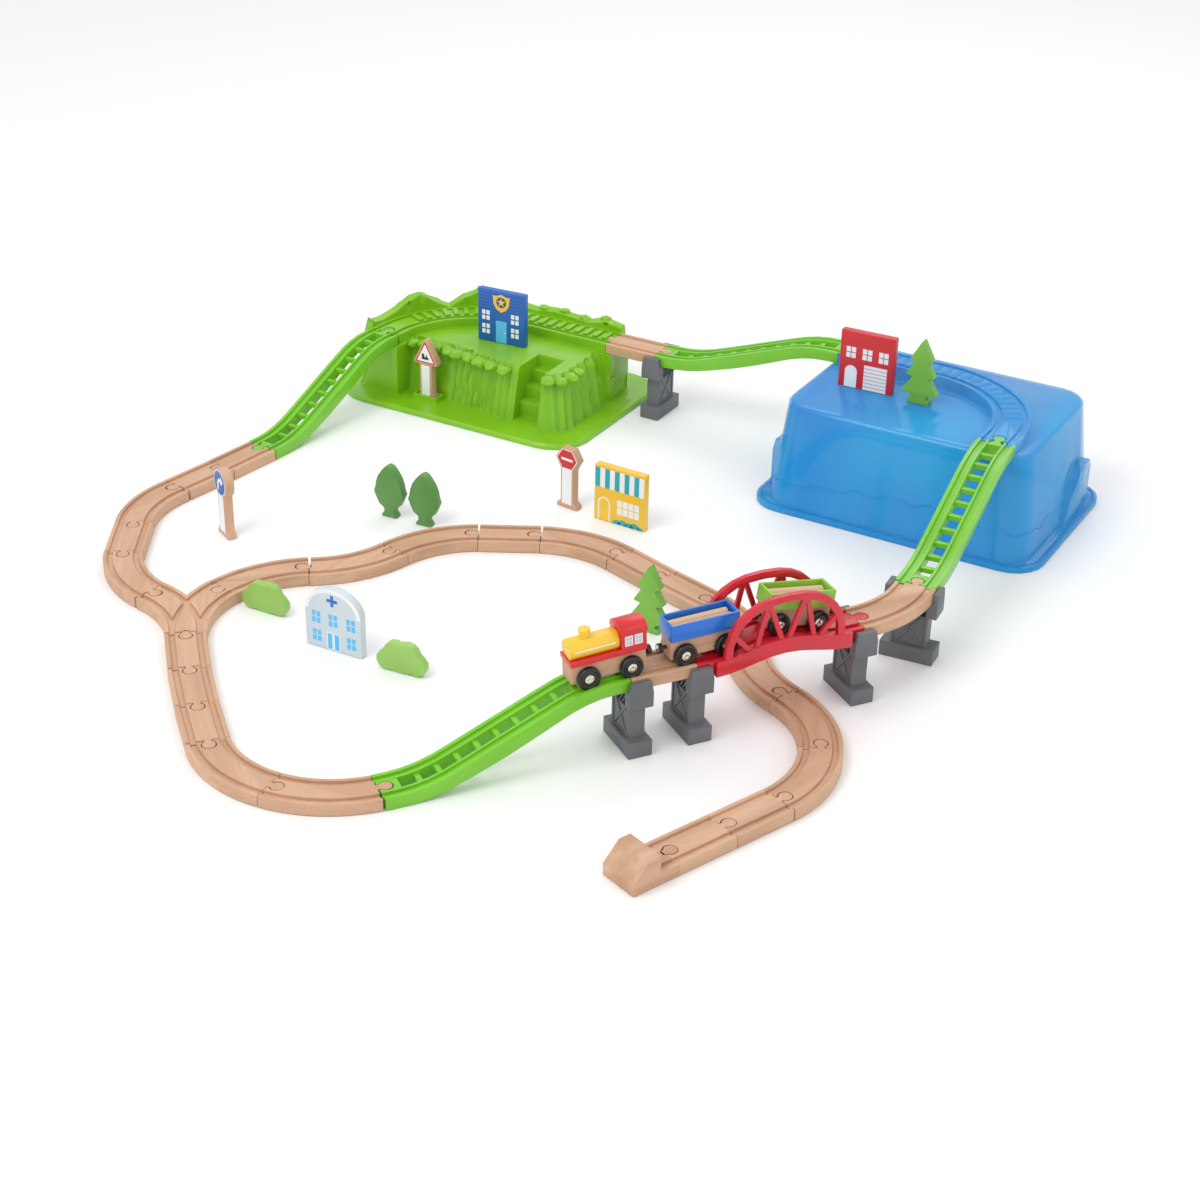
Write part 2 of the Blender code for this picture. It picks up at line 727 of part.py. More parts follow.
def pier():
    """Foot, leg and a cap with an upstand at each end, across the track along Y."""

    def ring(length, width, z):
        saddle = TRACK_WIDTH / 2 + PIER_EAR_CLEARANCE
        x = width / 2
        ys = [-length / 2, -min(saddle, length / 2.2), min(saddle, length / 2.2), length / 2]
        return [(x, y, z) for y in ys] + [(-x, y, z) for y in reversed(ys)]

    cap_base = PIER_SEAT - PIER_CAP
    shape = loft(
        [
            ring(PIER_LENGTH, PIER_WIDTH, 0),
            ring(PIER_LENGTH, PIER_WIDTH, PIER_FOOT),
            ring(PIER_LEG_LENGTH, PIER_LEG_WIDTH, PIER_FOOT + GAP),
            ring(PIER_LEG_LENGTH, PIER_LEG_WIDTH, cap_base - GAP),
            ring(PIER_LENGTH, PIER_WIDTH, cap_base),
            ring(PIER_LENGTH, PIER_WIDTH, PIER_SEAT),
        ]
    )
    saddle = TRACK_WIDTH / 2 + PIER_EAR_CLEARANCE
    ears = []
    for side in (-1, 1):
        y = sorted((side * saddle, side * PIER_LENGTH / 2))
        foot, tip = PIER_WIDTH / 2, PIER_WIDTH / 2 - 2 * MM
        low, high = PIER_SEAT - 1 * MM, PIER_SEAT + PIER_EAR
        ears.append(
            loft(
                [
                    [(-foot, y[0], low), (foot, y[0], low), (foot, y[1], low), (-foot, y[1], low)],
                    [(-tip, y[0], high), (tip, y[0], high), (tip, y[1], high), (-tip, y[1], high)],
                ]
            )
        )
    pockets = []
    for side in (-1, 1):
        x = sorted((side * PIER_WEB / 2, side * PIER_WIDTH))
        y = PIER_LEG_LENGTH / 2 - PIER_POST
        pockets.append(box(x, (-y, y), (cap_base + GAP, PIER_SEAT - PIER_TOP)))
    return carved(shape, joins=[together(ears)], cuts=[together(pockets)])


# ---------------------------------------------------------------- moulded boxes


def moulded_samples(bend, back, tail, side):
    """The moulded track on a box, from its side opening to its front one.

    side is 1 where the side opening is at the box's right and the curve leads to its left."""
    start = Pose(side * back, MOULDED_LINE, 90 + side * 90)
    bend_start = Pose(bend, MOULDED_LINE, start.heading)
    steps = 2 * CURVE_STEPS
    curve = [after_arc(bend_start, side, 90 * i / steps) for i in range(steps + 1)]
    return [start, *curve, curve[-1].moved(tail)]


def moulded_outline(samples):
    half = TRACK_WIDTH / 2
    right = [p.point(0, -half) for p in samples]
    left = [p.point(0, half) for p in reversed(samples)]
    far = list(reversed(socket(samples[-1].reversed())))
    near = list(reversed(socket(samples[0])))
    return right + far + left + near


def ring_at(points, z):
    return [(x, y, z) for x, y in points]


def tub():
    """An upturned box: flange, leaning walls, top, and the moulded track on it."""
    top_corner, foot_corner = 32 * MM, 34 * MM
    shoulder = 6 * MM

    def ring(length, width, corner, z):
        return ring_at(rounded_rectangle(length, width, corner), z)

    skin2 = 2 * TUB_SKIN
    top_ring = (TUB_TOP_LENGTH, TUB_TOP_WIDTH, top_corner)
    foot_ring = (TUB_WALL_FOOT_LENGTH, TUB_WALL_FOOT_WIDTH, foot_corner)
    inner_top = (TUB_TOP_LENGTH - skin2, TUB_TOP_WIDTH - skin2, top_corner - TUB_SKIN)
    inner_foot = (TUB_WALL_FOOT_LENGTH - skin2, TUB_WALL_FOOT_WIDTH - skin2, foot_corner - TUB_SKIN)
    crown = (TUB_TOP_LENGTH - shoulder, TUB_TOP_WIDTH - shoulder, top_corner - shoulder / 2)
    shell = loft(
        [
            ring(*inner_top, TUB_HEIGHT - TUB_SKIN),
            ring(*inner_foot, 0),
            ring(BOX_LENGTH, BOX_WIDTH, TUB_CORNER, 0),
            ring(BOX_LENGTH, BOX_WIDTH, TUB_CORNER, FLANGE_HEIGHT),
            ring(*foot_ring, FLANGE_HEIGHT + GAP),
            ring(*top_ring, TUB_HEIGHT - shoulder / 2),
            ring(*crown, TUB_HEIGHT),
        ]
    )
    samples = moulded_samples(TUB_BEND, TUB_TRACK_BACK, TUB_TAIL, -1)
    top = TUB_HEIGHT + GAP + TRACK_HEIGHT
    mould = prism(moulded_outline(samples), TUB_HEIGHT - TUB_SKIN / 2, top)
    grooves = rail_cuts(samples, top)
    fins = []
    for side in (-1, 1):
        # A fin for lifting on each short end, one towards the front and one towards the back.
        profile = [(0, 4), (14, 30), (34, 50), (52, 60), (68, 60), (74, 50), (74, 4)]
        reach = (TUB_TOP_LENGTH / 2 + 2 * MM, TUB_WALL_FOOT_LENGTH / 2 + 5 * MM)
        loops = [[(side * x, side * v * MM, z * MM) for v, z in profile] for x in reach]
        fins.append(loft(loops))
    return carved(shell, joins=[mould, together(fins)], cuts=[grooves]), samples


def hill_outline(scale_in=0.0):
    """The rock's outline: a block at the left, a bay for the sign, flutes to the stairs."""
    s = scale_in
    left, right, back = -146 * MM + s, 137 * MM - s, 90 * MM - s
    points = [Vector((left, -86 * MM + s)), Vector((-90 * MM, -86 * MM + s))]
    bay = -67 * MM + s
    points.append(Vector((-88 * MM, bay)))
    flutes = 9
    bay_end, stair = -30 * MM, STAIR_LEFT - 2 * MM
    points.append(Vector((bay_end, bay)))
    for i in range(flutes * 2 + 1):
        share = i / (flutes * 2)
        swell = 2.2 * MM * (-1) ** i
        y = bay - 14 * MM * share + swell
        points.append(Vector((bay_end + (stair - bay_end) * (0.04 + 0.96 * share), y)))
    radius = 22 * MM
    corner = Vector((right - radius, -84 * MM + s + radius))
    for i, point in enumerate(arc(corner, radius, -90, 0, 6)):
        swell = 1.8 * MM * (-1) ** i
        points.append(corner + (point - corner) * (1 + swell / radius))
    side_flutes = 8
    for i in range(1, side_flutes):
        y = corner.y + (24 * MM - corner.y) * i / side_flutes
        points.append(Vector((right + 1.8 * MM * (-1) ** i, y)))
    points.append(Vector((right, 24 * MM)))
    back_corner = 26 * MM
    points += arc(Vector((right - back_corner, back - back_corner)), back_corner, 0, 90, 4)
    points += arc(Vector((left + back_corner * 2, back - back_corner * 2)), back_corner * 2, 90, 180, 6)
    return points


def hill_ridge(samples):
    """The rock wall behind the moulded track, with its two peaks."""
    half = TRACK_WIDTH / 2
    run = list(samples)
    straight_start = run[0]
    stations = [straight_start.moved(d * MM) for d in (1, 22, 46, 70, 94)]
    stations += run[1:]
    stations[-1] = run[-1].moved(-1 * MM)
    peaks = {0: 86, 1: 90, 2: 84, 3: 86, 4: 88, 5: 84, 6: 86, 7: 84, 8: 90, 9: 99, 10: 92, 11: 81}
    peaks.update({12: 90, 13: 102, 14: 96, 15: 88, 16: 84, 17: 86, 18: 90, 19: 90})
    loops = []
    for i, pose in enumerate(stations):
        top = peaks.get(i, 84) * MM
        inner, foot = half - 0.6 * MM, half + 14 * MM
        crest = half + 7 * MM
        low = HILL_PLATEAU - 6 * MM
        section = [(inner, low), (inner, top - 3 * MM), (crest, top), (foot, low)]
        loops.append([(*pose.point(0, -left), z) for left, z in section])
    return loft(loops)


def hill():
    """A hollow rock on a flange, with a plateau, stairs, a holder for a sign and moulded track."""
    flange = loft(
        [
            ring_at(rounded_rectangle(BOX_LENGTH, BOX_WIDTH, HILL_CORNER), 0),
            ring_at(rounded_rectangle(BOX_LENGTH, BOX_WIDTH, HILL_CORNER), FLANGE_HEIGHT - 2 * MM),
            ring_at(
                rounded_rectangle(BOX_LENGTH - 4 * MM, BOX_WIDTH - 4 * MM, HILL_CORNER - 2 * MM),
                FLANGE_HEIGHT,
            ),
        ]
    )
    batter = 18 * MM
    rock = loft(
        [
            ring_at(hill_outline(), FLANGE_HEIGHT / 2),
            ring_at(hill_outline(batter * 0.75), HILL_PLATEAU - 8 * MM),
            ring_at(hill_outline(batter), HILL_PLATEAU),
        ]
    )
    samples = moulded_samples(HILL_BEND, HILL_TRACK_BACK, HILL_TAIL, 1)
    top = DECK_BASE + TRACK_HEIGHT
    mould = prism(moulded_outline(samples), PIER_SEAT - 3 * MM, top)
    openings = (samples[0], samples[-1].reversed())
    mouths = together([mouth(pose, PIER_SEAT, top + 1 * MM) for pose in openings])
    ridge = hill_ridge(samples)
    # Ledges under the ends of the track that comes from outside.
    half = TRACK_WIDTH / 2
    front = samples[-1]
    ledge_front = box(
        (front.spot.x - half - 1 * MM, front.spot.x + half + 3 * MM),
        (front.spot.y - 12 * MM, front.spot.y + 26 * MM),
        (FLANGE_HEIGHT / 2, PIER_SEAT),
    )
    side = samples[0]
    ledge_side = box(
        (side.spot.x - 24 * MM, side.spot.x + 8 * MM),
        (side.spot.y - half - 2 * MM, side.spot.y + half + 2 * MM),
        (FLANGE_HEIGHT / 2, PIER_SEAT),
    )
    stairs_x = (STAIR_LEFT, STAIR_LEFT + STAIR_WIDTH)
    outside = -BOX_WIDTH / 2
    over = HILL_PLATEAU + STAIR_RISE
    profile = [(outside, over), (outside, FLANGE_HEIGHT)]
    y, z = STAIR_TOP - 3 * STAIR_RUN, FLANGE_HEIGHT
    for below in (3, 2, 1, 0):
        y = STAIR_TOP - below * STAIR_RUN
        profile.append((y, z))
        z = HILL_PLATEAU - below * STAIR_RISE
        profile.append((y, z))
    profile[-1] = (y, over)
    flight = loft([[(x, yy, zz) for yy, zz in profile] for x in stairs_x])
    hollow_left, hollow_back = -124 * MM, 62 * MM
    hollow_top = HILL_PLATEAU - 3 * HILL_SKIN
    hollow_outline = [
        (hollow_left, -60 * MM),
        (-92 * MM, -60 * MM),
        (-86 * MM, -44 * MM),
        (stairs_x[0] - 2 * HILL_SKIN, -44 * MM),
        (stairs_x[0] - 2 * HILL_SKIN, 4 * MM),
        (106 * MM, 4 * MM),
        (106 * MM, hollow_back),
        (hollow_left, hollow_back),
    ]
    hollow = prism(hollow_outline, -1 * MM, hollow_top)
    cup_x = (CUP_MIDDLE[0] - CUP_HALF[0], CUP_MIDDLE[0] + CUP_HALF[0])
    cup_y = (CUP_MIDDLE[1] - CUP_HALF[1], CUP_MIDDLE[1] + CUP_HALF[1])
    cup = box(cup_x, cup_y, (FLANGE_HEIGHT / 2, FLANGE_HEIGHT + 6 * MM))
    pocket = box(
        (cup_x[0] + HILL_SOCKET, cup_x[1] - HILL_SOCKET),
        (cup_y[0] + HILL_SOCKET, cup_y[1] - HILL_SOCKET),
        (FLANGE_HEIGHT, HILL_PLATEAU / 2),
    )
    mesh = carved(
        flange,
        joins=[rock, ledge_front, ledge_side, ridge, mould, cup],
        cuts=[flight, hollow, rail_cuts(samples, top), mouths, pocket],
    )
    return mesh, samples


# ---------------------------------------------------------------- boards


def board(outline, thickness):
    """A flat wooden figure that stands on z = 0, its face at y = 0 and its back at +y."""
    shape = upright(prism(outline, 0, thickness))
    bmesh.ops.translate(shape, verts=shape.verts, vec=(0, thickness, 0))
    return mesh_of(shape)


def mirrored(profile):
    """An outline from (height, half width) points, from the foot up."""
    right = [Vector((half, height)) for height, half in profile]
    left = [Vector((-half, height)) for height, half in reversed(profile)]
    return right + left


def lobes(circles, middle, steps):
    """The outline of overlapping discs above z = 0, as seen from a point that is in them."""
    points = []
    for i in range(steps):
        a = math.tau * (i + 0.5) / steps
        way = Vector((math.cos(a), math.sin(a)))
        reach = 0.0
        for x, z, radius in circles:
            to_disc = Vector((x, z)) - middle
            along = to_disc.dot(way)
            off = to_disc.length_squared - along * along
            if off < radius * radius:
                reach = max(reach, along + math.sqrt(radius * radius - off))
        if way.y < 0:
            reach = min(reach, middle.y / -way.y)
        points.append(middle + way * reach)
    return points


def building():
    half = BUILDING_WIDTH / 2
    return [(-half, 0), (half, 0), (half, BUILDING_HEIGHT), (-half, BUILDING_HEIGHT)]


def hospital():
    half, spring, crown = 31.5 * MM, 41 * MM, 25 * MM
    steps = 14
    vault = [
        (half * math.cos(math.pi * i / steps), spring + crown * math.sin(math.pi * i / steps))
        for i in range(steps + 1)
    ]
    return [(-half, 0), (half, 0), *vault]


def round_tree():
    profile = ((0, 9.5), (2.5, 8.8), (6, 6), (10, 6.2), (14, 12), (20, 15), (28, 18.2), (33, 16.5))
    profile += ((40, 15.2), (47, 12.6), (53, 8.6), (58, 4.4), (59.8, 1.2))
    return mirrored([(h * MM, w * MM) for h, w in profile])


def fir_tree():
    profile = ((0, 12), (4.5, 12.4), (6, 8), (10, 9.5), (12, 20.5), (14, 19), (30, 8.5), (31.5, 16))
    profile += ((33.5, 15), (47, 7), (49, 12.5), (51.5, 11.4), (70, 1.2), (71.4, 0.4))
    return mirrored([(h * MM, w * MM) for h, w in profile])


def bush():
    discs = ((-15.5, 10.5, 10.6), (-7, 19.5, 11.5), (7, 20.5, 11.5), (16, 10.5, 10.6), (0, 11, 14))
    return lobes([(x * MM, z * MM, r * MM) for x, z, r in discs], Vector((0, 11 * MM)), 28)


def sign_foot():
    half, post = SIGN_FOOT_WIDTH / 2, SIGN_POST / 2
    return [(half, 0), (half, 3.5 * MM), (post, 8 * MM)]


def sign(head):
    """A sign from its head's right half, bottom first, as (x, z) points."""
    right = [Vector(point) for point in sign_foot() + list(head)]
    return right + [Vector((-p.x, p.y)) for p in reversed(right)]


def hexagon_head():
    middle, half, height = 57.5 * MM, 15.5 * MM, 12.2 * MM
    return [
        (SIGN_POST / 2, middle - height),
        (half, middle),
        (half / 2, middle + height),
    ]


def disc_head():
    middle, radius = 61 * MM, 16 * MM
    first = -math.degrees(math.acos(SIGN_POST / 2 / radius))
    return [tuple(p) for p in arc(Vector((0, middle)), radius, first, 84, 9)]


def triangle_head():
    base, half, tip = 44.5 * MM, 16.5 * MM, 75 * MM
    return [(SIGN_POST / 2, base), (half - 1 * MM, base), (half, base + 3 * MM), (1.5 * MM, tip)]


# ---------------------------------------------------------------- train


def axle_level():
    """Height of the wheels' axis above the top of the track."""
    return WHEEL_RADIUS - GROOVE_DEPTH + GAP


def wheelset():
    """Two wheels on an axle, turned about Y."""
    inner = GAUGE / 2 - WHEEL_WIDTH / 2
    outer = GAUGE / 2 + WHEEL_WIDTH / 2
    rim, chamfer, hub = WHEEL_RADIUS, 0.9 * MM, 4.2 * MM
    cap = outer + 0.6 * MM
    half = [
        (0, AXLE_RADIUS),
        (inner, AXLE_RADIUS),
        (inner, rim),
        (outer - chamfer, rim),
        (outer, rim - chamfer),
        (outer, hub),
        (cap, hub),
    ]
    profile = [(-along, radius) for along, radius in reversed(half[1:])] + half[1:]
    profile = [(profile[0][0], 0), *profile, (profile[-1][0], 0)]
    return mesh_of(lathe(profile, 18))


def axle_holes(level):
    holes = []
    for x in (-WHEELBASE / 2, WHEELBASE / 2):
        radius = AXLE_RADIUS + AXLE_HOLE_PLAY
        reach = CHASSIS_WIDTH
        hole = lathe([(-reach, 0), (-reach, radius), (reach, radius), (reach, 0)], 12)
        bmesh.ops.translate(hole, verts=hole.verts, vec=(x, 0, level))
        holes.append(hole)
    return together(holes)


def coupling(x, way):
    """A round magnet cup on its stem, facing along way, which is 1 or -1."""
    shape = lathe(
        [
            (0, 0),
            (0, 1.8 * MM),
            (COUPLING_REACH - 4.5 * MM, 1.8 * MM),
            (COUPLING_REACH - 4 * MM, COUPLING_RADIUS - 0.8 * MM),
            (COUPLING_REACH - 3 * MM, COUPLING_RADIUS),
            (COUPLING_REACH, COUPLING_RADIUS),
            (COUPLING_REACH, 0),
        ],
        14,
    )
    turn = Matrix.Rotation(math.radians(-90 * way), 4, "Z")
    bmesh.ops.transform(shape, matrix=turn, verts=shape.verts)
    bmesh.ops.translate(shape, verts=shape.verts, vec=(x - way * 1 * MM, 0, COUPLING_HEIGHT))
    return shape


def chassis(length, deck, couplings):
    half = CHASSIS_WIDTH / 2
    body = box((-length / 2, length / 2), (-half, half), (CHASSIS_CLEARANCE, deck))
    hooks = [coupling(way * length / 2, way) for way in couplings]
    return carved(body, joins=[together(hooks)], cuts=[axle_holes(axle_level())])


def engine_body():
    """Footplate and cab, as one painted block on the chassis."""
    half, length = BODY_WIDTH / 2, ENGINE_LENGTH + 1 * MM
    base = ENGINE_DECK + GAP
    plate = box((-length / 2, length / 2), (-half, half), (base, base + FOOTPLATE))
    cab_back = -length / 2
    cab_top = base + FOOTPLATE + CAB_HEIGHT
    eave = 8 * MM
    steps = 8
    roof = []
    for i in range(steps + 1):
        a = math.pi * i / steps
        roof.append((half * math.cos(a), cab_top - eave + eave * math.sin(a)))
    section = [(-half, base + 1 * MM), (half, base + 1 * MM), *roof]
    cab = loft([[(x, y, z) for y, z in section] for x in (cab_back, cab_back + CAB_LENGTH)])
    return carved(plate, joins=[cab])


def boiler():
    """The chamfered boiler with its chimney, between the cab and the front of the footplate."""
    base = ENGINE_DECK + FOOTPLATE + 2 * GAP
    half, height = BOILER_WIDTH / 2, BOILER_HEIGHT
    back = -(ENGINE_LENGTH + 1 * MM) / 2 + CAB_LENGTH + GAP
    front = ENGINE_LENGTH / 2 - 0.5 * MM
    section = [
        (-half * 0.75, base),
        (half * 0.75, base),
        (half, base + height * 0.3),
        (half, base + height * 0.62),
        (half * 0.5, base + height),
        (-half * 0.5, base + height),
        (-half, base + height * 0.62),
        (-half, base + height * 0.3),
    ]
    drum = loft([[(x, y, z) for y, z in section] for x in (back, front)])
    stack = loft(
        [
            [
                (17.5 * MM + r * math.cos(math.tau * i / 14), r * math.sin(math.tau * i / 14), z)
                for i in range(14)
            ]
            for z, r in (
                (base + height - 2 * MM, 4.6 * MM),
                (base + height + 4.5 * MM, 4.6 * MM),
                (base + height + 5.5 * MM, 5.4 * MM),
                (base + height + 8.5 * MM, 5.4 * MM),
            )
        ]
    )
    return carved(drum, joins=[stack])


def tray():
    half_length, half = TRAY_LENGTH / 2, TRAY_WIDTH / 2
    base = WAGON_DECK + GAP
    body = box((-half_length, half_length), (-half, half), (base, base + TRAY_HEIGHT))
    inside = box(
        (-half_length + TRAY_WALL, half_length - TRAY_WALL),
        (-half + TRAY_WALL, half - TRAY_WALL),
        (base + TRAY_WALL, base + 2 * TRAY_HEIGHT),
    )
    return carved(body, cuts=[inside])


def log_pair():
    """Two round logs side by side in the tray, touching along their length."""
    base = WAGON_DECK + 2 * GAP + TRAY_WALL + LOG_RADIUS
    half_length = TRAY_LENGTH / 2 - TRAY_WALL - 2 * MM
    steps = 14
    logs = []
    for side in (-1, 1):
        middle = side * (LOG_RADIUS * math.cos(math.pi / steps) - 0.15 * MM)
        ring = [
            (
                middle + LOG_RADIUS * math.cos(math.tau * (i + 0.5) / steps),
                base + LOG_RADIUS * math.sin(math.tau * (i + 0.5) / steps),
            )
            for i in range(steps)
        ]
        logs.append(loft([[(x, y, z) for y, z in ring] for x in (-half_length, half_length)]))
    return carved(logs[0], joins=[logs[1]])


class Line:
    """The raised line that the train stands on: ramp, straight and bridge, end to end."""

    def __init__(self, ramp_pose, ramp_low, ramp_high, straight_pose, bridge_pose):
        self.parts = (ramp_pose, straight_pose, bridge_pose)
        self.low, self.high = ramp_low, ramp_high

    def spot(self, distance):
        """Plan point and height of the track's top, distance from the ramp's head."""
        ramp_pose, straight_pose, bridge_pose = self.parts
        top = self.high + TRACK_HEIGHT
        if distance < 0:
            run = ramp_run(self.high - self.low)
            share = slope_share(run + distance, run)
            level = self.low + TRACK_HEIGHT + (self.high - self.low) * ease(share)
            return ramp_pose.point(run + distance), level
        beyond = distance - STRAIGHT_LENGTH
        if beyond < 0:
            return straight_pose.point(distance), top
        return bridge_pose.point(beyond), top + bridge_rise(beyond)


def vehicle_frame(name, line, rear_distance, faces_back):
    """An empty midway between the axles at the top of the track, x forward."""
    near, near_level = line.spot(rear_distance)
    far, far_level = line.spot(rear_distance + WHEELBASE)
    middle = (near + far) / 2
    along = far - near
    heading = math.degrees(math.atan2(along.y, along.x))
    pitch = -math.atan2(far_level - near_level, along.length)
    frame = linked(name, None)
    frame.location = (middle.x, middle.y, (near_level + far_level) / 2)
    if faces_back:
        heading += 180
        pitch = -pitch
    frame.rotation_euler = (0, pitch, math.radians(heading))
    return frame


def add_wheelsets(name, frame, mesh):
    for label, x in (("front", WHEELBASE / 2), ("rear", -WHEELBASE / 2)):
        wheels = place(f"{name}_{label}_wheelset", mesh, BLACK, parent=frame, smooth=40)
        wheels.location = (x, 0, axle_level())


# ---------------------------------------------------------------- layout

SWITCH = Pose(-415.3 * MM, -180.7 * MM, 99.3)
TUB_TURN = -3.0  # play at each end of a ramp that lands on a box
PIER_PAST_JOINT = {1: 6.9 * MM, 2: 2 * MM}  # a pier's middle, past the joint that it carries
PIER_TURN = {3: -1.0, 4: 2.0}  # piers at a turned joint stand halfway between its two pieces


def lay_track():
    """All track pieces. Returns the places that other pieces are set by."""
    spots = {}
    mesh, (right_end, left_end) = switch_track()
    place("switch_track", mesh, BEECH, SWITCH)

    # From the plug of the switch, round the front of the layout and up.
    end = lay_outward(
        "approach_straights", SWITCH.reversed(), ["straight"] * 3, (4.0, 3.0, 2.0)
    )
    end = lay_outward("front_bend", end, ["left", "left"], (3.5, 0.0))
    start = across_joint(end, 2.8)
    place("front_ramp", ramp(0, DECK_BASE), GREEN, start)
    spots["front_ramp"] = start
    end = start.moved(ramp_run(DECK_BASE))
    start = across_joint(end, 0.8)
    spots["pier_1"] = start
    spots["raised_straight"] = start
    place("raised_straight", wooden_track(["straight"]), BEECH, start, DECK_BASE)
    start = across_joint(start.moved(STRAIGHT_LENGTH))
    spots["pier_2"] = start
    spots["bridge"] = start
    place("truss_bridge", truss_bridge(), RED, start, DECK_BASE)
    end = start.moved(BRIDGE_LENGTH)
    spots["pier_3"] = across_joint(end)
    end = lay_outward("raised_curve", end, ["left"], (-2.0,), DECK_BASE)
    start = across_joint(end, -4.7)
    spots["pier_4"] = start
    tub_base = TUB_HEIGHT + GAP
    place("tub_ramp", ramp(DECK_BASE, tub_base), GREEN, start)
    end = start.moved(ramp_run(tub_base - DECK_BASE))

    # The tub stands where its front opening meets the ramp's head.
    mesh, samples = tub()
    opening = samples[-1].reversed()
    landing = across_joint(end, TUB_TURN)
    tub_pose = frame_from(landing, opening)
    place("tub", mesh, BLUE, tub_pose)
    spots["tub"] = tub_pose

    # From the tub's side opening down to the last pier and on to the hill.
    side = samples[0].reversed()
    out = tub_pose.moved(side.spot.x, side.spot.y, side.heading)
    start = across_joint(out, 0.0, plug_leads=False)
    foot = start.moved(ramp_run(tub_base - DECK_BASE))
    place("back_ramp", ramp(DECK_BASE, tub_base), GREEN, foot.reversed())
    # The short straight has a plug at both ends.
    start = across_joint(foot, 0.0, plug_leads=False)
    spots["pier_5"] = start
    place("hill_straight", double_plug_straight(), BEECH, start, DECK_BASE)
    mesh, samples = hill()
    landing = across_joint(start.moved(STRAIGHT_LENGTH))
    hill_pose = frame_from(landing, samples[0])
    place("hill", mesh, HILL_GREEN, hill_pose)
    spots["hill"] = hill_pose

    # The left arm of the switch, round the left of the layout to the hill's ramp.
    end = SWITCH.moved(left_end.spot.x, left_end.spot.y, left_end.heading)
    end = lay_plug_first("left_bend_1", end, ["right"], (-4.0,))
    end = lay_plug_first("left_straight", end, ["straight"], (-3.0,))
    end = lay_plug_first("left_bend_2", end, ["right"], (1.5,))
    end = lay_plug_first("left_straights", end, ["straight"] * 2, (4.0, 1.5))
    front = samples[-1]
    port = hill_pose.moved(front.spot.x, front.spot.y, front.heading + 180)
    place_hill_ramp(end, port)

    # The right arm, across the middle, under the bridge and on to the buffer.
    end = SWITCH.moved(right_end.spot.x, right_end.spot.y, right_end.heading)
    end = lay_plug_first("siding_bend_1", end, ["right"], (-1.0,))
    end = lay_plug_first("siding_bend_2", end, ["left"], (-3.5,))
    end = lay_plug_first("siding_bend_3", end, ["right"], (-2.0,))
    end = lay_plug_first("siding_straight", end, ["straight"], (-3.0,))
    end = lay_plug_first("siding_bend_4", end, ["right"], (-3.0,))
    end = lay_plug_first("siding_straights", end, ["straight"] * 2, (1.0, 1.5))
    end = lay_plug_first("under_bridge_bends", end, ["right", "left"], (-1.5, -1.0))
    end = lay_plug_first("siding_bend_5", end, ["right"] * 2, (-3.0, 1.5))
    end = lay_plug_first("siding_end_straights", end, ["straight"] * 2, (-1.0, 0.0))
    start = across_joint(end, 0.0, plug_leads=False)
    place("buffer_stop", buffer_stop(), BEECH, start.moved(BUFFER_LENGTH).reversed())
    return spots


def frame_from(landing, opening):
    """The pose of a piece whose opening, facing in, has to be at landing."""
    turn = landing.heading - opening.heading
    a = math.radians(turn)
    spot = Vector(
        (
            math.cos(a) * opening.spot.x - math.sin(a) * opening.spot.y,
            math.sin(a) * opening.spot.x + math.cos(a) * opening.spot.y,
        )
    )
    return Pose(landing.spot.x - spot.x, landing.spot.y - spot.y, turn)


def double_plug_straight():
    samples = [Pose(0, 0, 0), Pose(STRAIGHT_LENGTH, 0, 0)]
    half = TRACK_WIDTH / 2
    outline = [samples[0].point(0, -half), samples[1].point(0, -half), *plug(samples[1])]
    outline += [samples[1].point(0, half), samples[0].point(0, half), *plug(samples[0].reversed())]
    return carved(prism(outline, 0, TRACK_HEIGHT), cuts=[rail_cuts(samples, TRACK_HEIGHT)])


def heading_of(way):
    return math.degrees(math.atan2(way.y, way.x))


def place_hill_ramp(foot_end, port):
    """The last ramp closes the loop: it spans from the straights' socket to the hill's.

    Both poses face along the ramp. Its plugs' heads are the points that it turns about."""
    heading = heading_of(port.spot - foot_end.spot)
    near = foot_end.moved(joint_opening(heading - foot_end.heading) - PLUG_CENTRE)
    far = port.moved(PLUG_CENTRE - joint_opening(heading - port.heading))
    reach = far.spot - near.spot
    start = Pose(near.spot.x, near.spot.y, heading_of(reach)).moved(PLUG_CENTRE)
    run = reach.length - 2 * PLUG_CENTRE
    place("hill_ramp", ramp(0, DECK_BASE, run, plug_at_foot=True), GREEN, start)


def set_piers(spots):
    mesh = pier()
    for number in range(1, 6):
        pose = spots[f"pier_{number}"]
        middle = pose.moved(PIER_PAST_JOINT.get(number, 0), turn=PIER_TURN.get(number, 0))
        place(f"pier_{number}", mesh, GREY, middle)


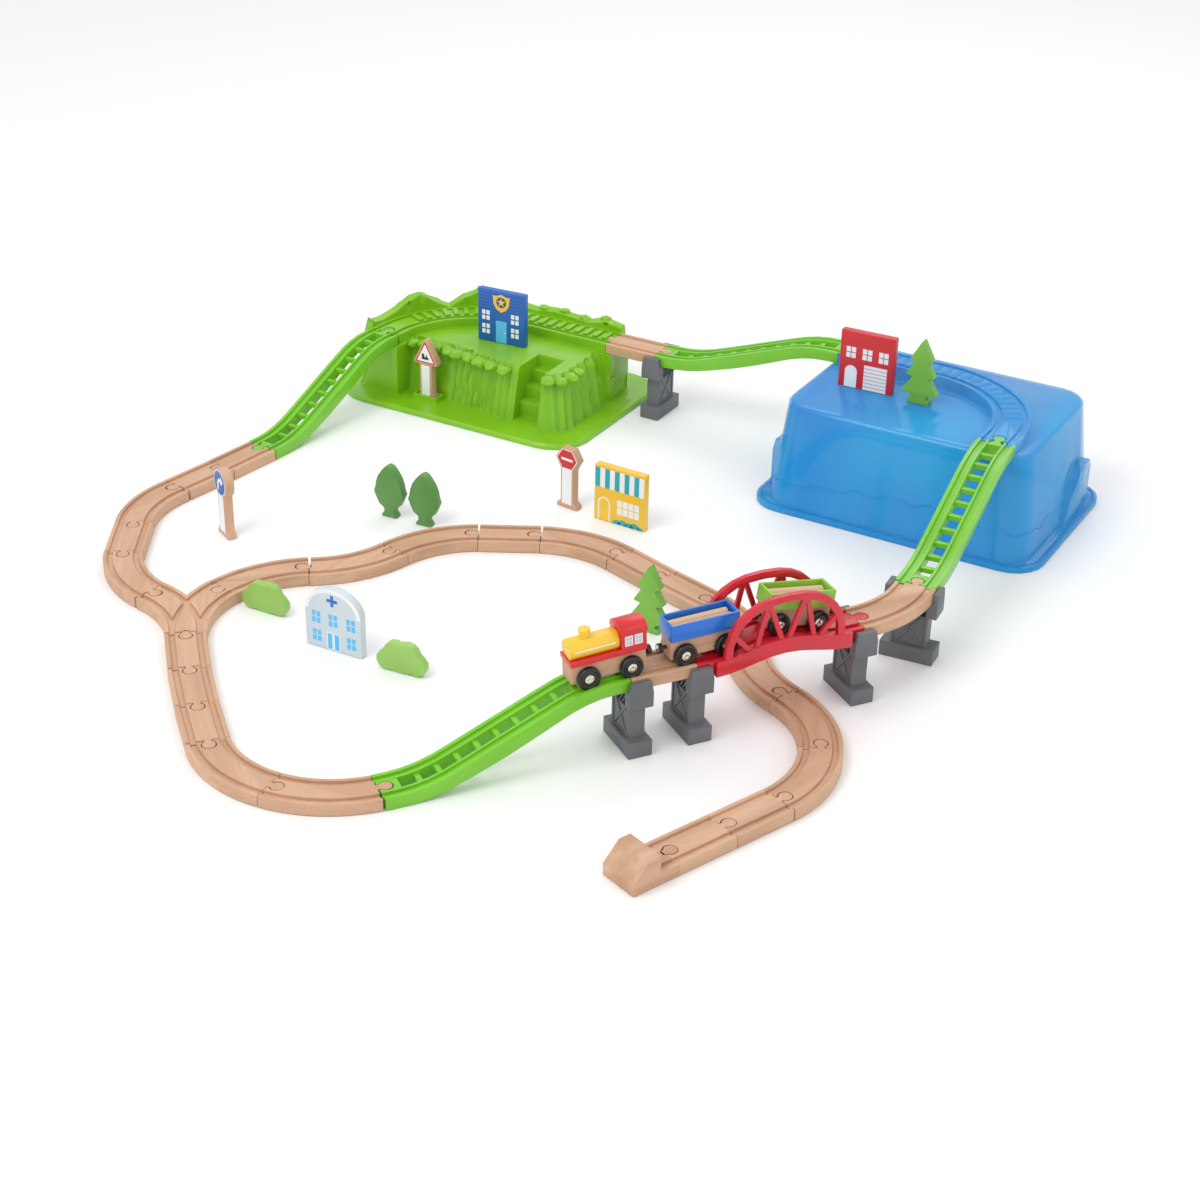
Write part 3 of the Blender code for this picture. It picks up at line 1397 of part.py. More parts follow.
def set_train(spots):
    line = Line(spots["front_ramp"], 0, DECK_BASE, spots["raised_straight"], spots["bridge"])
    wheels = wheelset()
    engine = vehicle_frame("engine_frame", line, -37 * MM, faces_back=True)
    place("engine_chassis", chassis(ENGINE_LENGTH, ENGINE_DECK, (-1,)), BEECH, parent=engine)
    place("engine_cab", engine_body(), RED_PAINT, parent=engine)
    place("engine_boiler", boiler(), YELLOW, parent=engine)
    add_wheelsets("engine", engine, wheels)
    wagon = chassis(WAGON_LENGTH, WAGON_DECK, (-1, 1))
    trays, logs = tray(), log_pair()
    wagons = (("blue_wagon", BLUE_PAINT, 55 * MM), ("green_wagon", LIME_PAINT, 146.5 * MM))
    for name, look, distance in wagons:
        frame = vehicle_frame(f"{name}_frame", line, distance, faces_back=True)
        place(f"{name}_chassis", wagon, BEECH, parent=frame)
        own_tray = trays.copy()
        own_tray.materials.clear()
        place(f"{name}_tray", own_tray, look, parent=frame)
        place(f"{name}_logs", logs, BEECH, parent=frame)
        add_wheelsets(name, frame, wheels)


def set_boards(spots):
    """The figures that stand round the layout. Each pose is the middle of a figure's front foot."""
    floor = [
        ("hospital", hospital(), BOARD_THICKNESS, PALE_GREY, (-272.6, -191.6, -27)),
        ("shop", building(), BOARD_THICKNESS, ORANGE, (-2.0, 85.2, -31)),
        ("bush_1", bush(), BOARD_THICKNESS, BUSH_GREEN, (-350.0, -120.0, -27)),
        ("bush_2", bush(), BOARD_THICKNESS, BUSH_GREEN, (-206.0, -230.0, -24)),
        ("tree_1", round_tree(), SIGN_THICKNESS, TREE_GREEN, (-247.3, 91.1, -26)),
        ("tree_2", round_tree(), SIGN_THICKNESS, TREE_GREEN, (-209.4, 72.5, -26)),
        ("fir_tree_1", fir_tree(), SIGN_THICKNESS, FIR_GREEN, (26.0, -142.0, -30)),
        ("stop_sign", sign(hexagon_head()), SIGN_THICKNESS, BEECH, (-58.5, 123.0, -37)),
        ("turn_sign", sign(disc_head()), SIGN_THICKNESS, BEECH, (-416.0, 41.0, -58)),
    ]
    for name, outline, thickness, look, (x, y, heading) in floor:
        place(name, board(outline, thickness), look, Pose(x * MM, y * MM, heading))
    on_tub, on_hill = spots["tub"], spots["hill"]
    fire = on_tub.moved(-74.5 * MM, -24 * MM, 2)
    place("fire_station", board(building(), BOARD_THICKNESS), RED_PAINT, fire, TUB_HEIGHT + GAP)
    fir = on_tub.moved(-12 * MM, -27 * MM)
    place("fir_tree_2", board(fir_tree(), SIGN_THICKNESS), FIR_GREEN, fir, TUB_HEIGHT + GAP)
    police = on_hill.moved(12 * MM, -16.5 * MM, 4)
    place("police_station", board(building(), BOARD_THICKNESS), BLUE_PAINT, police, HILL_PLATEAU + GAP)
    warning = on_hill.moved(CUP_MIDDLE[0], CUP_MIDDLE[1] - SIGN_THICKNESS / 2)
    outline = sign(triangle_head())
    place("warning_sign", board(outline, SIGN_THICKNESS), BEECH, warning, FLANGE_HEIGHT + GAP)


def centre_on_origin():
    """Moves everything together, so that the origin is under the middle of the layout's box."""
    bpy.context.view_layer.update()
    nodes = [thing for thing in bpy.data.objects if thing.type == "MESH"]
    points = [node.matrix_world @ vertex.co for node in nodes for vertex in node.data.vertices]
    for axis in (0, 1):
        reach = [point[axis] for point in points]
        middle = (min(reach) + max(reach)) / 2
        for thing in bpy.data.objects:
            if thing.parent is None:
                thing.location[axis] -= middle


def build():
    remove_scene_objects()
    spots = lay_track()
    set_piers(spots)
    set_train(spots)
    set_boards(spots)
    centre_on_origin()


build()
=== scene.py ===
"""Wooden train set: the looks. Beech track, moulded ramps, bridge, hill and tub, a painted train
with log wagons, and printed wooden buildings, trees and signs, on a pale studio floor.

Metres, +Z up. The layout is laid out again here piece by piece, from the same driving sizes as
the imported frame, and then set where the frame's own switch stands.
"""

import math

import bmesh
import bpy
from mathutils import Matrix, Vector, noise
from mathutils.bvhtree import BVHTree


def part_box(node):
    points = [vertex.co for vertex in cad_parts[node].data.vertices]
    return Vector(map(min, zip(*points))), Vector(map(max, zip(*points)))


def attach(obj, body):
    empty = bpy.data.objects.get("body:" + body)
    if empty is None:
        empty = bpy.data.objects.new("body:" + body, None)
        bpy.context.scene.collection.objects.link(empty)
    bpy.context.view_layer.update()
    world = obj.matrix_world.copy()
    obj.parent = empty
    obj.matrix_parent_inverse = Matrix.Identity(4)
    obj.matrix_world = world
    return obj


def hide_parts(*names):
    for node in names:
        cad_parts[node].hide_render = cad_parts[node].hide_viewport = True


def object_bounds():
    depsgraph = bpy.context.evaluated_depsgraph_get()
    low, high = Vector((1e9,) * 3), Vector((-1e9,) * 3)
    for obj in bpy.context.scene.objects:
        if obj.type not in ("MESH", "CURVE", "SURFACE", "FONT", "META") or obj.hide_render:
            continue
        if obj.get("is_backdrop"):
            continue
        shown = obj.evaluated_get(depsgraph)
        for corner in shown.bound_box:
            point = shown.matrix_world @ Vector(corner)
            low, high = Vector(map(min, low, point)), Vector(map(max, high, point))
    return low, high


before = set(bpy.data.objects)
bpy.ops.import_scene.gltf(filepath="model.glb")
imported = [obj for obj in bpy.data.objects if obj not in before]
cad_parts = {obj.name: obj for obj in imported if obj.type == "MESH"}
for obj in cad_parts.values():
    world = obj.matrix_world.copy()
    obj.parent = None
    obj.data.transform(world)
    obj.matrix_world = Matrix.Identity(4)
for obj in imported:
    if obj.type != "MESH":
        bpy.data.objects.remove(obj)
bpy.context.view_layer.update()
MM = 0.001

# ---------------------------------------------------------------- driving sizes

TRACK_WIDTH = 40 * MM
TRACK_HEIGHT = 12 * MM
GAUGE = 26 * MM
GROOVE_WIDTH = 6 * MM
GROOVE_DEPTH = 2.8 * MM
STRAIGHT_LENGTH = 64 * MM
CURVE_RADIUS = 119.5 * MM
CURVE_ANGLE = 45.0
CURVE_STEPS = 12
GAP = 0.3 * MM
PLUG_RADIUS = 6 * MM
PLUG_NECK = 6.6 * MM
PLUG_CENTRE = 7.8 * MM
SOCKET_PLAY = 1.1 * MM
SOCKET_SHIFT = 0.9 * MM
DECK_BASE = 66 * MM
TUB_HEIGHT = 120 * MM
HILL_PLATEAU = 68 * MM
FLANGE_HEIGHT = 6 * MM
RAMP_LENGTH = 236 * MM
RAMP_LEVEL = 13 * MM
RAMP_EASE = 0.26
BRIDGE_LENGTH = 170 * MM
BRIDGE_APPROACH = 16 * MM
BRIDGE_RISE = 10 * MM
MOULDED_LINE = 48 * MM
WHEELBASE = 40.6 * MM
WHEEL_RADIUS = 11 * MM
BUFFER_LENGTH = 47.6 * MM
BUFFER_BLOCK = 28.8 * MM
BUFFER_SLOPE = 16.3 * MM
BUFFER_TOP = 28.8 * MM
HILL_TOP = 100 * MM
BOARD_THICKNESS = 9 * MM
POST_THICKNESS = 10 * MM

# ---------------------------------------------------------------- the plan


class Pose:
    """A place on the floor plan and the way it faces."""

    def __init__(self, x, y, heading):
        self.spot = Vector((x, y))
        self.heading = heading

    def point(self, ahead, left=0.0):
        a = math.radians(self.heading)
        along = Vector((math.cos(a), math.sin(a)))
        across = Vector((-math.sin(a), math.cos(a)))
        return self.spot + along * ahead + across * left

    def moved(self, ahead, left=0.0, turn=0.0):
        spot = self.point(ahead, left)
        return Pose(spot.x, spot.y, self.heading + turn)

    def reversed(self):
        return Pose(self.spot.x, self.spot.y, self.heading + 180)

    def matrix(self, height=0.0):
        place = Matrix.Translation((self.spot.x, self.spot.y, height))
        return place @ Matrix.Rotation(math.radians(self.heading), 4, "Z")


def after_arc(pose, side, angle):
    chord = 2 * CURVE_RADIUS * math.sin(math.radians(angle / 2))
    half_turn = math.radians(side * angle / 2)
    return pose.moved(chord * math.cos(half_turn), chord * math.sin(half_turn), side * angle)


def after_piece(pose, kind):
    if kind == "straight":
        return pose.moved(STRAIGHT_LENGTH)
    return after_arc(pose, 1 if kind == "left" else -1, CURVE_ANGLE)


def joint_opening(play):
    return GAP + TRACK_WIDTH / 2 * math.sin(math.radians(abs(play)))


def across_joint(pose, play=0.0, plug_leads=True):
    """From the end of one piece to the start of the next, turned about the plug's round head."""
    opening = joint_opening(play)
    if plug_leads:
        return pose.moved(PLUG_CENTRE, turn=play).moved(opening - PLUG_CENTRE)
    return pose.moved(opening - PLUG_CENTRE, turn=play).moved(PLUG_CENTRE)


class Laid:
    """One laid piece: the CAD node that it belongs to, its kind, and the pose of its socket end."""

    def __init__(self, node, kind, pose, height=0.0):
        self.node, self.kind, self.pose, self.height = node, kind, pose, height


def lay_outward(laid, node, pose, kinds, plays, height=0.0):
    """Pieces with the plug at the far end."""
    end = pose
    for kind, play in zip(kinds, plays):
        start = across_joint(end, play)
        laid.append(Laid(node, kind, start, height))
        end = after_piece(start, kind)
    return end


def lay_plug_first(laid, node, pose, kinds, plays):
    """Pieces with the plug at the near end, so that each one's socket end is its far end."""
    other_hand = {"left": "right", "right": "left", "straight": "straight"}
    end = pose
    for kind, play in zip(kinds, plays):
        start = across_joint(end, play, plug_leads=False)
        end = after_piece(start, kind)
        laid.append(Laid(node, other_hand[kind], end.reversed()))
    return end


def heading_of(way):
    return math.degrees(math.atan2(way.y, way.x))


def frame_from(landing, opening):
    """The pose of a moulding whose opening, facing in, has to be at landing."""
    turn = landing.heading - opening.heading
    spot = Matrix.Rotation(math.radians(turn), 2) @ opening.spot
    return Pose(landing.spot.x - spot.x, landing.spot.y - spot.y, turn)


def ramp_run(rise):
    return math.sqrt(RAMP_LENGTH**2 - rise**2)


def moulded_samples(bend, back, tail, side):
    """The moulded track on a box, from its side opening to its front one."""
    start = Pose(side * back, MOULDED_LINE, 90 + side * 90)
    bend_start = Pose(bend, MOULDED_LINE, start.heading)
    steps = 2 * CURVE_STEPS
    curve = [after_arc(bend_start, side, 90 * i / steps) for i in range(steps + 1)]
    return [start, *curve, curve[-1].moved(tail)]


TUB_TRACK = moulded_samples(-17 * MM, 130 * MM, 22.5 * MM, -1)
HILL_TRACK = moulded_samples(9 * MM, 128 * MM, 6.5 * MM, 1)


def lay_out(switch):
    """Every piece's place, worked out from the switch."""
    laid, spots = [], {"switch": switch}
    end = lay_outward(laid, "approach_straights", switch.reversed(), ["straight"] * 3, (4, 3, 2))
    end = lay_outward(laid, "front_bend", end, ["left"] * 2, (3.5, 0))
    spots["front_ramp"] = across_joint(end, 2.8)
    end = spots["front_ramp"].moved(ramp_run(DECK_BASE))
    end = lay_outward(laid, "raised_straight", end, ["straight"], (0.8,), DECK_BASE)
    spots["raised_straight"] = laid[-1].pose
    spots["pier_1"] = laid[-1].pose.moved(6.9 * MM)
    spots["bridge"] = across_joint(end)
    spots["pier_2"] = spots["bridge"].moved(2 * MM)
    end = spots["bridge"].moved(BRIDGE_LENGTH)
    spots["pier_3"] = across_joint(end).moved(0, turn=-1)
    end = lay_outward(laid, "raised_curve", end, ["left"], (-2,), DECK_BASE)
    spots["tub_ramp"] = across_joint(end, -4.7)
    spots["pier_4"] = spots["tub_ramp"].moved(0, turn=2)
    climb = TUB_HEIGHT + GAP - DECK_BASE
    end = spots["tub_ramp"].moved(ramp_run(climb))
    tub = frame_from(across_joint(end, -3.0), TUB_TRACK[-1].reversed())
    side = TUB_TRACK[0].reversed()
    out = tub.moved(side.spot.x, side.spot.y, side.heading)
    start = across_joint(out, plug_leads=False)
    foot = start.moved(ramp_run(climb))
    spots["back_ramp"] = foot.reversed()
    spots["hill_straight"] = across_joint(foot, plug_leads=False)
    spots["pier_5"] = spots["hill_straight"]
    landing = across_joint(spots["hill_straight"].moved(STRAIGHT_LENGTH))
    hill = frame_from(landing, HILL_TRACK[0])
    spots["tub"], spots["hill"] = tub, hill
    left = after_piece(switch, "left")
    end = lay_plug_first(laid, "left_bend_1", left, ["right"], (-4,))
    end = lay_plug_first(laid, "left_straight", end, ["straight"], (-3,))
    end = lay_plug_first(laid, "left_bend_2", end, ["right"], (1.5,))
    end = lay_plug_first(laid, "left_straights", end, ["straight"] * 2, (4, 1.5))
    front = HILL_TRACK[-1]
    port = hill.moved(front.spot.x, front.spot.y, front.heading + 180)
    heading = heading_of(port.spot - end.spot)
    near = end.moved(joint_opening(heading - end.heading) - PLUG_CENTRE)
    far = port.moved(PLUG_CENTRE - joint_opening(heading - port.heading))
    reach = far.spot - near.spot
    spots["hill_ramp"] = Pose(near.spot.x, near.spot.y, heading_of(reach)).moved(PLUG_CENTRE)
    spots["hill_ramp_run"] = reach.length - 2 * PLUG_CENTRE
    end = after_piece(switch, "right")
    for node, kinds, plays in (
        ("siding_bend_1", ["right"], (-1,)),
        ("siding_bend_2", ["left"], (-3.5,)),
        ("siding_bend_3", ["right"], (-2,)),
        ("siding_straight", ["straight"], (-3,)),
        ("siding_bend_4", ["right"], (-3,)),
        ("siding_straights", ["straight"] * 2, (1, 1.5)),
        ("under_bridge_bends", ["right", "left"], (-1.5, -1)),
        ("siding_bend_5", ["right"] * 2, (-3, 1.5)),
        ("siding_end_straights", ["straight"] * 2, (-1, 0)),
    ):
        end = lay_plug_first(laid, node, end, kinds, plays)
    spots["buffer"] = across_joint(end, plug_leads=False).moved(BUFFER_LENGTH).reversed()
    return laid, spots


# ---------------------------------------------------------------- outlines


def arc(centre, radius, start, end, steps):
    turns = [math.radians(start + (end - start) * i / steps) for i in range(steps + 1)]
    return [Vector(centre) + radius * Vector((math.cos(a), math.sin(a))) for a in turns]


def knob(pose, radius, half_neck, centre, steps=20):
    """The outline of a plug, or of the socket for one, from the right of its neck to the left."""
    meet = math.degrees(math.asin(half_neck / radius))
    first, last = pose.heading - 180 + meet, pose.heading + 180 - meet
    ring = arc(pose.point(centre), radius, first, last, steps)
    return [pose.point(0, -half_neck), *ring, pose.point(0, half_neck)]


def plug_outline(pose):
    root = pose.moved(-2 * MM)
    half = PLUG_NECK / 2
    return [root.point(0, -half), *knob(pose, PLUG_RADIUS, half, PLUG_CENTRE), root.point(0, half)]


def socket_outline(pose):
    """pose faces into the piece."""
    root = pose.moved(-2 * MM)
    half = PLUG_NECK / 2 + SOCKET_PLAY
    ring = knob(pose, PLUG_RADIUS + SOCKET_PLAY, half, PLUG_CENTRE - SOCKET_SHIFT)
    return [root.point(0, -half), *ring, root.point(0, half)]


# ---------------------------------------------------------------- shaping


def prism(outline, bottom, top):
    shape = bmesh.new()
    face = shape.faces.new([shape.verts.new((x, y, bottom)) for x, y in outline])
    grown = bmesh.ops.extrude_face_region(shape, geom=[face])["geom"]
    risen = [item for item in grown if isinstance(item, bmesh.types.BMVert)]
    bmesh.ops.translate(shape, verts=risen, vec=(0, 0, top - bottom))
    bmesh.ops.recalc_face_normals(shape, faces=shape.faces)
    return shape


def swept(section, places):
    """A section, drawn in each place's YZ plane, carried through a list of matrices."""
    shape = bmesh.new()
    ring = [shape.verts.new(places[0] @ Vector((0, y, z))) for y, z in section]
    face = shape.faces.new(ring)
    here = places[0]
    for there in places[1:]:
        grown = bmesh.ops.extrude_face_region(shape, geom=[face])["geom"]
        face = next(item for item in grown if isinstance(item, bmesh.types.BMFace))
        bmesh.ops.transform(shape, matrix=there @ here.inverted(), verts=face.verts)
        here = there
    bmesh.ops.recalc_face_normals(shape, faces=shape.faces)
    return shape


def block(x, y, z, edge=0.0, steps=2):
    """A box between two values on each axis, its edges rounded by edge."""
    shape = bmesh.new()
    bmesh.ops.create_cube(shape, size=1)
    size = Matrix.Diagonal((x[1] - x[0], y[1] - y[0], z[1] - z[0], 1))
    middle = Matrix.Translation(((x[0] + x[1]) / 2, (y[0] + y[1]) / 2, (z[0] + z[1]) / 2))
    bmesh.ops.transform(shape, matrix=middle @ size, verts=shape.verts)
    if edge:
        soften(shape, edge, steps)
    return shape


def bevelled(shape, edges, width, steps, clamped=True):
    bmesh.ops.bevel(
        shape, geom=edges, offset=width, offset_type="OFFSET", segments=steps, profile=0.5,
        affect="EDGES", clamp_overlap=clamped, material=-1,
    )
    return shape


def soften(shape, width, steps=2, angle=30.0):
    """Rounds every edge that turns by more than angle."""
    limit = math.radians(angle)
    sharp = [e for e in shape.edges if len(e.link_faces) == 2 and e.calc_face_angle(0) > limit]
    return bevelled(shape, sharp, width, steps)


def lathe(profile, steps, turn=None):
    """Spins (along, radius) points about the X axis; both ends are on the axis or get closed."""
    shape = bmesh.new()
    verts = [shape.verts.new((along, 0, radius)) for along, radius in profile]
    edges = [shape.edges.new(pair) for pair in zip(verts, verts[1:])]
    bmesh.ops.spin(
        shape, geom=verts + edges, cent=(0, 0, 0), axis=(1, 0, 0), angle=math.tau, steps=steps,
        use_merge=True,
    )
    bmesh.ops.remove_doubles(shape, verts=shape.verts, dist=1e-6)
    bmesh.ops.holes_fill(shape, edges=shape.edges, sides=0)
    bmesh.ops.recalc_face_normals(shape, faces=shape.faces)
    if turn is not None:
        bmesh.ops.transform(shape, matrix=turn, verts=shape.verts)
    return shape


def moved(shape, matrix):
    bmesh.ops.transform(shape, matrix=matrix, verts=shape.verts)
    return shape


def together(shapes):
    whole = bmesh.new()
    for shape in shapes:
        loose = bpy.data.meshes.new("loose")
        shape.to_mesh(loose)
        shape.free()
        whole.from_mesh(loose)
        bpy.data.meshes.remove(loose)
    return whole


def linked(name, mesh):
    thing = bpy.data.objects.new(name, mesh)
    bpy.context.scene.collection.objects.link(thing)
    return thing


def carved(base, joins=(), cuts=()):
    """The base with joins united to it and cuts taken out, as a bmesh."""
    things = []
    for shape in (base, *joins, *cuts):
        mesh = bpy.data.meshes.new("solid")
        shape.to_mesh(mesh)
        shape.free()
        things.append(linked("solid", mesh))
    body = things[0]
    for i, tool in enumerate(things[1:]):
        step = body.modifiers.new("step", "BOOLEAN")
        step.operation = "UNION" if i < len(joins) else "DIFFERENCE"
        step.solver = "EXACT"
        step.object = tool
    bpy.context.view_layer.update()
    made = bmesh.new()
    made.from_object(body, bpy.context.evaluated_depsgraph_get())
    for thing in things:
        used = thing.data
        bpy.data.objects.remove(thing)
        bpy.data.meshes.remove(used)
    return made


def cad_copy(node):
    """A merged copy of a CAD node's mesh, its flat areas joined up again."""
    shape = bmesh.new()
    shape.from_mesh(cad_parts[node].data)
    bmesh.ops.remove_doubles(shape, verts=shape.verts, dist=2e-5)
    flat = math.radians(1)
    bmesh.ops.dissolve_limit(shape, angle_limit=flat, verts=shape.verts, edges=shape.edges)
    return shape


GRAIN = "grain"


def piece(name, shape, look, nodes=(), place=None, sharp=40.0, body="layout"):
    """One finished piece. Its grain attribute holds its own coordinates before it is placed."""
    mesh = bpy.data.meshes.new(name)
    shape.to_mesh(mesh)
    shape.free()
    seed = sum(ord(letter) * (i + 3) for i, letter in enumerate(name))
    own = Vector(((seed * 37 % 101) * 0.07, (seed * 53 % 89) * 0.05, (seed * 71 % 97) * 0.05))
    grain = mesh.attributes.new(GRAIN, "FLOAT_VECTOR", "POINT")
    for vertex, value in zip(mesh.vertices, grain.data):
        value.vector = vertex.co + own
    if place is not None:
        mesh.transform(place)
    mesh.materials.clear()
    mesh.materials.append(look)
    mesh.shade_smooth()
    mesh.set_sharp_from_angle(angle=math.radians(sharp))
    thing = linked(name, mesh)
    if nodes:
        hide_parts(*nodes)
    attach(thing, body)
    return thing


# ---------------------------------------------------------------- materials


class Look:
    """A Principled material with short helpers for its pattern nodes."""

    def __init__(self, name, roughness, **sockets):
        self.material = bpy.data.materials.new(name)
        self.material.use_nodes = True
        self.tree = self.material.node_tree
        self.shader = self.tree.nodes["Principled BSDF"]
        self.shader.inputs["Roughness"].default_value = roughness
        for socket, value in sockets.items():
            self.shader.inputs[socket.replace("_", " ")].default_value = value

    def node(self, kind, **values):
        made = self.tree.nodes.new(kind)
        for key, value in values.items():
            setattr(made, key, value)
        return made

    def link(self, source, target):
        self.tree.links.new(source, target)

    def place(self, scale=(1, 1, 1), attribute=None):
        if attribute:
            source = self.node("ShaderNodeAttribute", attribute_name=attribute).outputs["Vector"]
        else:
            source = self.node("ShaderNodeTexCoord").outputs["Object"]
        mapping = self.node("ShaderNodeMapping")
        mapping.inputs["Scale"].default_value = scale
        self.link(source, mapping.inputs["Vector"])
        return mapping.outputs["Vector"]

    def noise(self, vector, scale, detail=3.0, roughness=0.55):
        made = self.node("ShaderNodeTexNoise")
        made.inputs["Scale"].default_value = scale
        made.inputs["Detail"].default_value = detail
        made.inputs["Roughness"].default_value = roughness
        self.link(vector, made.inputs["Vector"])
        return made.outputs["Fac"]

    def stops(self, factor, stops):
        made = self.node("ShaderNodeValToRGB")
        elements = made.color_ramp.elements
        while len(elements) < len(stops):
            elements.new(0.5)
        for element, (position, colour) in zip(elements, stops):
            element.position = position
            element.color = (*colour, 1.0)
        self.link(factor, made.inputs["Fac"])
        return made.outputs["Color"]

    def mix(self, factor, first, second, blend="MIX"):
        made = self.node("ShaderNodeMix", data_type="RGBA", blend_type=blend)
        for value, socket in ((factor, 0), (first, 6), (second, 7)):
            if isinstance(value, (int, float)):
                made.inputs[socket].default_value = value
            elif isinstance(value, tuple):
                made.inputs[socket].default_value = (*value, 1.0)
            else:
                self.link(value, made.inputs[socket])
        return made.outputs[2]

    def colour(self, source):
        self.link(source, self.shader.inputs["Base Color"])

    def rough(self, factor, low, high):
        made = self.node("ShaderNodeMapRange")
        made.inputs["To Min"].default_value = low
        made.inputs["To Max"].default_value = high
        self.link(factor, made.inputs["Value"])
        self.link(made.outputs["Result"], self.shader.inputs["Roughness"])

    def bump(self, height, distance, strength=1.0):
        made = self.node("ShaderNodeBump")
        made.inputs["Strength"].default_value = strength
        made.inputs["Distance"].default_value = distance
        self.link(height, made.inputs["Height"])
        self.link(made.outputs["Normal"], self.shader.inputs["Normal"])


def wood(name, light, middle, dark, roughness=0.5):
    """Fine straight grain along each piece's own X, with the small flecks of beech."""
    look = Look(name, roughness, Specular_IOR_Level=0.4)
    along = look.place((9, 140, 140), GRAIN)
    streaks = look.noise(along, 1.0, 5.0, 0.6)
    bands = look.noise(look.place((3, 26, 26), GRAIN), 1.0, 3.0)
    tone = look.noise(look.place((1.3, 1.3, 1.3), GRAIN), 1.0, 1.0)
    flecks = look.noise(look.place((110, 900, 900), GRAIN), 1.0, 2.0)
    streaked = look.stops(streaks, ((0.3, middle), (0.62, light)))
    black = (0, 0, 0)
    dark_bands = look.stops(bands, ((0.42, black), (0.7, (0.7, 0.7, 0.7))))
    banded = look.mix(dark_bands, streaked, dark)
    middle_patches = look.stops(tone, ((0.35, black), (0.65, (0.45, 0.45, 0.45))))
    toned = look.mix(middle_patches, banded, middle)
    spots = look.stops(flecks, ((0.6, black), (0.7, (0.5, 0.5, 0.5))))
    look.colour(look.mix(spots, toned, dark))
    look.bump(streaks, 0.00012)
    look.rough(bands, roughness - 0.08, roughness + 0.1)
    return look.material


def plastic(name, base, deep, roughness=0.3, cloud=14.0, skin=0.00006, coat=0.2):
    """Moulded plastic: a slight drift of colour, a fine skin texture and a soft clear sheen."""
    look = Look(name, roughness, Coat_Weight=coat, Coat_Roughness=0.15)
    where = look.place()
    drift = look.noise(where, cloud, 2.0)
    fine = look.noise(where, 900.0, 2.0)
    look.colour(look.stops(drift, ((0.3, deep), (0.65, base))))
    look.bump(fine, skin)
    look.rough(look.noise(where, 55.0, 3.0), roughness - 0.06, roughness + 0.08)
    return look.material


def paint(name, base, deep, roughness=0.32):
    """Paint on wood, through which a little of the grain shows."""
    look = Look(name, roughness, Coat_Weight=0.25, Coat_Roughness=0.2)
    streaks = look.noise(look.place((14, 220, 220), GRAIN), 1.0, 4.0)
    drift = look.noise(look.place((16, 16, 16), GRAIN), 1.0, 2.0)
    look.colour(look.stops(drift, ((0.3, deep), (0.7, base))))
    look.bump(streaks, 0.00008)
    look.rough(streaks, roughness - 0.05, roughness + 0.1)
    return look.material


def clear_tub(name, alpha):
    """Tinted see-through plastic, deeper in some places than in others."""
    look = Look(name, 0.12, IOR=1.45, Coat_Weight=0.25, Coat_Roughness=0.06)
    where = look.place()
    drift = look.noise(where, 7.0, 2.0)
    look.colour(look.stops(drift, ((0.3, (0.0, 0.29, 0.78)), (0.7, (0.0, 0.42, 0.84)))))
    look.bump(look.noise(where, 26.0, 2.0), 0.0005, 0.5)
    look.shader.inputs["Alpha"].default_value = alpha
    look.material.surface_render_method = "BLENDED"
    return look.material


def metal(name, base, roughness):
    look = Look(name, roughness, Metallic=1.0)
    where = look.place()
    darker = tuple(c * 0.9 for c in base)
    look.colour(look.stops(look.noise(where, 300.0), ((0.3, base), (0.7, darker))))
    look.rough(look.noise(where, 700.0), roughness - 0.05, roughness + 0.1)
    return look.material


BEECH = wood("beech", (0.68, 0.43, 0.285), (0.56, 0.335, 0.205), (0.42, 0.225, 0.125))
LOG_WOOD = wood("log_beech", (0.74, 0.52, 0.36), (0.64, 0.42, 0.27), (0.52, 0.32, 0.19))
RAMP_GREEN = plastic("ramp_green", (0.19, 0.56, 0.02), (0.16, 0.50, 0.012), 0.3)
HILL_GREEN = plastic("hill_green", (0.235, 0.54, 0.008), (0.19, 0.475, 0.006), 0.34, skin=0.0001)
BRIDGE_RED = plastic("bridge_red", (0.66, 0.012, 0.03), (0.55, 0.008, 0.022), 0.28)
PIER_GREY = plastic("pier_grey", (0.15, 0.155, 0.168), (0.12, 0.124, 0.136), 0.5, coat=0.0)
TUB_BLUE = clear_tub("tub_blue", 0.6)
TUB_LINE = clear_tub("tub_line", 0.55)
WHEEL_BLACK = plastic("wheel_black", (0.012, 0.012, 0.013), (0.008, 0.008, 0.009), 0.3)
HUB_STEEL = metal("hub_steel", (0.8, 0.77, 0.7), 0.18)
ENGINE_RED = paint("engine_red", (0.70, 0.015, 0.02), (0.60, 0.01, 0.016))
BOILER_YELLOW = paint("boiler_yellow", (0.90, 0.58, 0.03), (0.82, 0.50, 0.02))
TRAY_BLUE = paint("tray_blue", (0.006, 0.165, 0.66), (0.004, 0.14, 0.58))
TRAY_GREEN = paint("tray_green", (0.27, 0.58, 0.04), (0.22, 0.50, 0.03))
TREE_GREEN = paint("tree_green", (0.10, 0.29, 0.05), (0.075, 0.235, 0.04), 0.45)
BUSH_GREEN = paint("bush_green", (0.32, 0.58, 0.12), (0.27, 0.50, 0.09), 0.45)
FIR_GREEN = paint("fir_green", (0.19, 0.48, 0.045), (0.15, 0.42, 0.035), 0.45)
WALL_GREY = paint("wall_grey", (0.60, 0.68, 0.72), (0.54, 0.62, 0.67), 0.45)
WALL_YELLOW = paint("wall_yellow", (0.86, 0.55, 0.035), (0.80, 0.49, 0.025), 0.45)
WALL_RED = paint("wall_red", (0.66, 0.02, 0.025), (0.58, 0.014, 0.02), 0.45)
WALL_BLUE = paint("wall_blue", (0.006, 0.125, 0.50), (0.004, 0.105, 0.43), 0.45)
